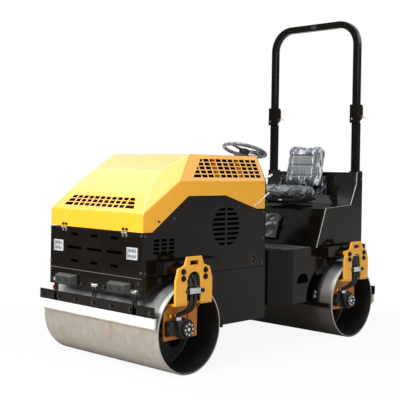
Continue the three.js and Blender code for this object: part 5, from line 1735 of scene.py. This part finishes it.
def make_console():
    """A tapered pedestal with a small dash, wrapped low down in loose film."""
    profile = [(-0.2135, FLOOR + 0.001), (-0.0905, FLOOR + 0.001), (-0.1245, 1.240), (-0.2285, 1.210)]
    box_part = traced("pedestal", profile, -0.112, 0.112, "side", 0.008, 3, 25)
    finished(box_part, "rear_frame", "console", ("steering_column",)).name = "console_pedestal"
    axis = Vector((math.sin(TILT), 0, -math.cos(TILT)))
    sleeve = rod("sleeve", WHEEL_CENTRE + axis * 0.150, WHEEL_CENTRE + axis * 0.330, 0.036, 28, 0.004)
    shaft = rod("shaft", WHEEL_CENTRE + axis * 0.0315, WHEEL_CENTRE + axis * 0.160, 0.020, 20)
    boot = turned("boot", [(0.0001, 0.0), (0.060, 0.0), (0.052, 0.012), (0.056, 0.018), (0.046, 0.028),
                           (0.050, 0.034), (0.038, 0.046),
                           (0.0001, 0.046)], WHEEL_CENTRE + axis * 0.318, -axis, 32)
    shroud = box("shroud", (-0.052, -0.060, -0.250), (0.052, 0.060, -0.040))
    tapered(shroud, facing((0, 0, -1)), (1.25, 1.25, 1), (0, 0, -0.250))
    softened_edges(shroud, 0.012, 3, 40)
    shroud.data.transform(Matrix.Translation(WHEEL_CENTRE) @ Matrix.Rotation(-TILT, 4, "Y"))
    finished(joined("steering_post", [sleeve, shaft, boot, shroud]), "rear_frame", "console")
    slope = Matrix.Translation((-0.1765, 0, 1.2255)) @ Matrix.Rotation(-math.atan2(0.030, 0.104), 4, "Y")
    gauges = []
    for y, radius in ((-0.062, 0.026), (0.066, 0.020)):
        gauge = turned("gauge", [(0.0001, 0.003), (radius * 0.8, 0.003), (radius * 0.86, 0.007),
                                 (radius, 0.006), (radius, -0.002), (0.0001, -0.002)], (0, y, 0), (0, 0,
                                 1), 28)
        gauges.append(gauge)
    dash = joined("dash_gauges", gauges)
    dash.data.transform(slope)
    finished(dash, "rear_frame", "chrome")
    switches = [rod("switch", (x, y, 0.000), (x, y, 0.012), 0.007, 12, 0.002)
                for x, y in ((-0.028, 0.030), (-0.028, 0.052), (-0.028, 0.074), (0.024, 0.100))]
    row = joined("dash_switches", switches)
    row.data.transform(slope)
    finished(row, "rear_frame", "console", finish=red_plastic)
    wrap = box("film_wrap", (-0.222, -0.124, FLOOR + 0.012), (-0.082, 0.124, 1.115))
    picked(wrap, "FACE", facing((0, 0, 1)))
    bpy.ops.transform.resize(value=(0.78, 0.96, 1), center_override=(-0.162, 0, 1.115))
    bpy.ops.transform.translate(value=(-0.022, 0, 0))
    diced(wrap, 26)
    middle = Vector((-0.160, 0, 0.92))
    for vertex in wrap.data.vertices:
        spot = vertex.co
        away = Vector((spot.x - middle.x, spot.y - middle.y, 0)).normalized()
        lift = 0.016 * crumple(spot, 13, 2.2) + 0.010 * crumple(spot, 29, 4.4) - 0.004
        vertex.co = spot + away * lift
    finished(wrap, "rear_frame", "console", finish=wrapped_black, smooth=180)
    pouch = box("pouch", (-0.010, -0.135, -0.110), (0.022, 0.050, 0.095))
    diced(pouch, 22)
    for vertex in pouch.data.vertices:
        spot = vertex.co
        rim_share = ease(abs(spot.y + 0.042), 0.060, 0.093)
        vertex.co = spot + Vector((0.018 * crumple(spot, 11, 9.2) + 0.010 * crumple(spot, 24, 3.4)
                                   - 0.012 * rim_share, 0.006 * crumple(spot, 17, 1.1), 0))
    pouch.data.transform(Matrix.Translation((-0.652, 0, 0.900)) @ Matrix.Rotation(-math.atan2(0.117,
        0.309), 4, "Y"))
    finished(pouch, "rear_frame", "console", finish=wrapped_rim, smooth=180).name = "tool_pouch"
    loop = turned("ring", round_profile(0.020, 0.003, 0.003, 8), (-0.620, 0.040, 0.915), (1, 0.3, 0.2),
                  28)
    finished(loop, "rear_frame", "chrome", finish=dark_zinc).name = "pouch_ring"


def make_lever():
    """A bent chrome travel lever with a small grip."""
    foot = Vector((-0.215, 0.132, 1.190))
    path = [foot, foot + Vector((-0.004, 0.006, 0.030)), foot + Vector((-0.040, 0.045, 0.075)),
            foot + Vector((-0.085, 0.094, 0.125)), foot + Vector((-0.103, 0.114, 0.140))]
    bar = piped("lever", path, 0.0065)
    end = path[-1]
    grip = rod("grip", end - Vector((-0.016, 0.018, 0.020)), end + Vector((-0.004, 0.004, 0.004)), 0.0085,
               20, 0.004)
    block = box("block", (-0.240, 0.1155, 1.160), (-0.195, 0.145, 1.205), 0.004)
    finished(joined("travel_lever_bar", [bar, grip, block]), "rear_frame", "chrome", ("travel_lever",))


make_wheel()
make_console()
make_lever()


# ------------------------------------------------------------------ roll-over hoop

def make_hoop():
    """One bent box tube with rounded feet in the fold joints."""
    low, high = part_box("hoop")
    half = high.y
    top = high.z
    bend = 0.215
    tube = 0.060

    def arc(edge, radius, centre_height):
        return [(edge - radius + radius * math.cos(turn), centre_height + radius * math.sin(turn))
                for turn in (step * math.pi / 40 for step in range(21))]

    outer = arc(half, bend, top - bend)
    inner = arc(half - tube, bend - tube, top - bend)
    outer = [(half, low.z), *outer, *[(-y, z) for y, z in reversed(outer)], (-half, low.z)]
    inner = [(half - tube, low.z), *inner, *[(-y, z) for y, z in reversed(inner)], (tube - half, low.z)]
    hoop = traced("hoop_tube", [*outer, *reversed(inner)], low.x, high.x, "front")
    rounded(hoop, lambda edge: all(vertex.co.z < low.z + 0.001 for vertex in edge.verts)
            and abs(edge.verts[0].co.x - edge.verts[1].co.x) < 0.001, 0.0235)
    softened_edges(hoop, 0.0065, 3, 40)
    finished(hoop, "hoop", "black_paint", ("hoop",), smooth=30)
    patch = box("patch", (high.x - 0.001, -0.028, top - 0.045), (high.x + 0.002, 0.028, top - 0.014),
                0.001)
    finished(patch, "hoop", "black_paint", finish=finishes["console"]).name = "hoop_patch"


def make_hoop_joint(side, sign):
    """Pivot bolt, lock pin and foot plate of one folding post."""
    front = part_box(f"hoop_post_{side}")[1].x
    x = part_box("hoop")[0].x + 0.025
    pivot = 1.828
    inner, outer = inner_and_outer(f"hoop_post_{side}", sign)
    head = scattered("pivot_bolt", big_bolt, [(x, outer - sign * 0.008, pivot)], (0, sign, 0))
    nut = scattered("pivot_nut", big_bolt, [(x, inner + sign * 0.008, pivot)], (0, -sign, 0))
    finished(joined(f"hoop_pivot_{side}", [head, nut]), "rear_frame", "console")
    middle = sign * (HALF - 0.043)
    stud = scattered("stud", dome_cap, [(front, middle - 0.010, 1.8165)], (1, 0, 0))
    finished(stud, "rear_frame", "chrome").name = f"hoop_stud_{side}"
    cheek = middle + 0.041
    pin = rod("pin", (x - 0.022, cheek, 1.838), (x - 0.022, cheek + 0.016, 1.838), 0.008, 16, 0.002)
    clip = piped("clip", [(x - 0.022, cheek + 0.010, 1.838), (x - 0.050, cheek + 0.012, 1.842),
                          (x - 0.066, cheek + 0.008, 1.834)], 0.004)
    finished(joined(f"hoop_lock_{side}", [pin, clip]), "rear_frame", "chrome", finish=brass)
    foot = box("foot", (REAR_FACE + 0.001, middle - 0.046, REAR_TOP),
               (REAR_FACE + 0.075, middle + 0.040, REAR_TOP + 0.012), 0.0025)
    finished(foot, "rear_frame", "black_paint").name = f"hoop_foot_{side}"
    spots = [(x - 0.036, middle + across, REAR_TOP + 0.012) for across in (-0.036, 0.032)]
    finished(scattered(f"hoop_foot_bolts_{side}", dome_screw, spots, (0, 0, 1)), "rear_frame", "chrome",
             finish=zinc)


make_hoop()
for side, sign in SIDES:
    make_hoop_joint(side, sign)


for master in (hex_bolt, cap_screw, dome_screw, small_cap, big_bolt, small_bolt, dome_cap):
    bpy.data.objects.remove(master)

for node, piece in frame["nodes"].items():
    piece.data.materials.clear()
    piece.data.materials.append(finishes[slots[node]])


# ------------------------------------------------------------------ stage

def eye_share(finish):
    """1 where the eye, a reflection or glass looks at a surface, and 0 where light bounces off it."""
    rays = [finish.node("LightPath", output=f"Is {kind} Ray")
            for kind in ("Camera", "Glossy", "Transmission")]
    return finish.node("Math", {"operation": "ADD", "use_clamp": True},
                       {0: rays[0] + rays[1], 1: rays[2]})


def lay_floor():
    """A white floor that keeps the shadow near the machine and fades into the backdrop far from it.
    To reflections and bounced light it shows a painted shadow under the machine and a painted dark
    patch off to its right front.
    """
    clear_selection()
    bpy.ops.mesh.primitive_plane_add(size=60, location=(0, 0, 0))
    floor = bpy.context.object
    floor.name = "floor"
    finish = Finish("floor")
    reach = finish.node("VectorMath", {"operation": "LENGTH"}, {0: finish.place()}, "Value")
    white = finish.node("Emission", None, {"Color": (1, 1, 1, 1), "Strength": 1.0})
    eye = finish.node("LightPath", output="Is Camera Ray")
    near = 1 - finish.step(reach, 1.2, 3.2)
    # Painted shadow under the machine and a painted dark patch off to its right front, both only for
    # reflections and bounced light
    under = (1 - finish.step(abs(finish.axis("X")), 1.00, 1.35)) * (1
                                                                    - finish.step(abs(finish.axis("Y")),
                                                                        0.62, 1.00))
    painted_dark_aside = finish.step(0 - finish.axis("Y"), 1.8, 4.0) * finish.step(finish.axis("X"), 0.8, 2.5)
    share = eye_share(finish) * (1 - near * 0.08) * (1 - (1 - eye) * (near * 0.35 + under * 0.62))
    share = share * (1 - (1 - eye) * painted_dark_aside * 0.85)
    # Painted shadow: there the floor's colour goes near black for reflections and bounced light
    tone = finish.mix((1 - eye) * (under + painted_dark_aside) * 0.9, (0.80, 0.80, 0.80), (0.05, 0.045, 0.04))
    shade = finish.node("BsdfDiffuse", None, {"Color": tone})
    mixed = finish.node("MixShader", None, {0: share, 1: shade, 2: white})
    finish.node("OutputMaterial", None, {"Surface": mixed})
    floor.data.materials.append(finish.material)


def light_world():
    """White to the eye and in reflections, and softer as light on the machine."""
    world = bpy.data.worlds.new("studio")
    bpy.context.scene.world = world
    finish = Finish("studio", world)
    seen = finish.node("LightPath", output="Is Camera Ray")
    way = finish.node("TexCoord", output="Generated")
    along, across, up = (finish.node("SeparateXYZ", None, {0: way}, letter) for letter in "XYZ")
    low = 1 - finish.step(up, 0.08, 0.30)
    ahead = finish.step(0 - across, 0.10, 0.45) * finish.step(along, 0.0, 0.3)
    behind = finish.step(0 - along, 0.55, 0.66) * finish.step(across, 0.0, 0.3)
    dim = low * (ahead * 0.85 + behind * 0.68)
    glow = (eye_share(finish) * 0.45 + 0.55) * (1 - (1 - seen) * dim)
    backdrop = finish.node("Background", None, {"Color": (1, 1, 1, 1), "Strength": glow})
    finish.node("OutputWorld", None, {"Surface": backdrop})


place_camera()
soft_light("key", (6.7, 0.8, 4.0), (0.8, 0, 1.0), 3.0, 2.5, 525)
# Light seen in reflections only, like a cool sky
for name, place, target, width, height, watts in (
        ("sky", (1.0, -2.8, 6.6), (0.7, 0, 1.2), 5.0, 7.0, 385),
        ("low_sky", (-2.0, -5.2, 5.1), (0.9, 0, 1.4), 4.0, 4.0, 45),
        ("rear_sky", (-4.8, 3.3, 5.1), (0.4, 0.4, 1.4), 4.0, 4.0, 125),
        ("zenith", (0.8, 0.9, 7.4), (0.8, 0.3, 1.2), 3.6, 3.6, 300)):
    soft_light(name, place, target, width, height, watts, SKY_TINT).visible_diffuse = False
soft_light("fill", (0.0, 6.5, 3.0), (0, 0, 1.0), 4.0, 2.5, 45)
lay_floor()
light_world()
bpy.context.scene.view_settings.view_transform = "Standard"
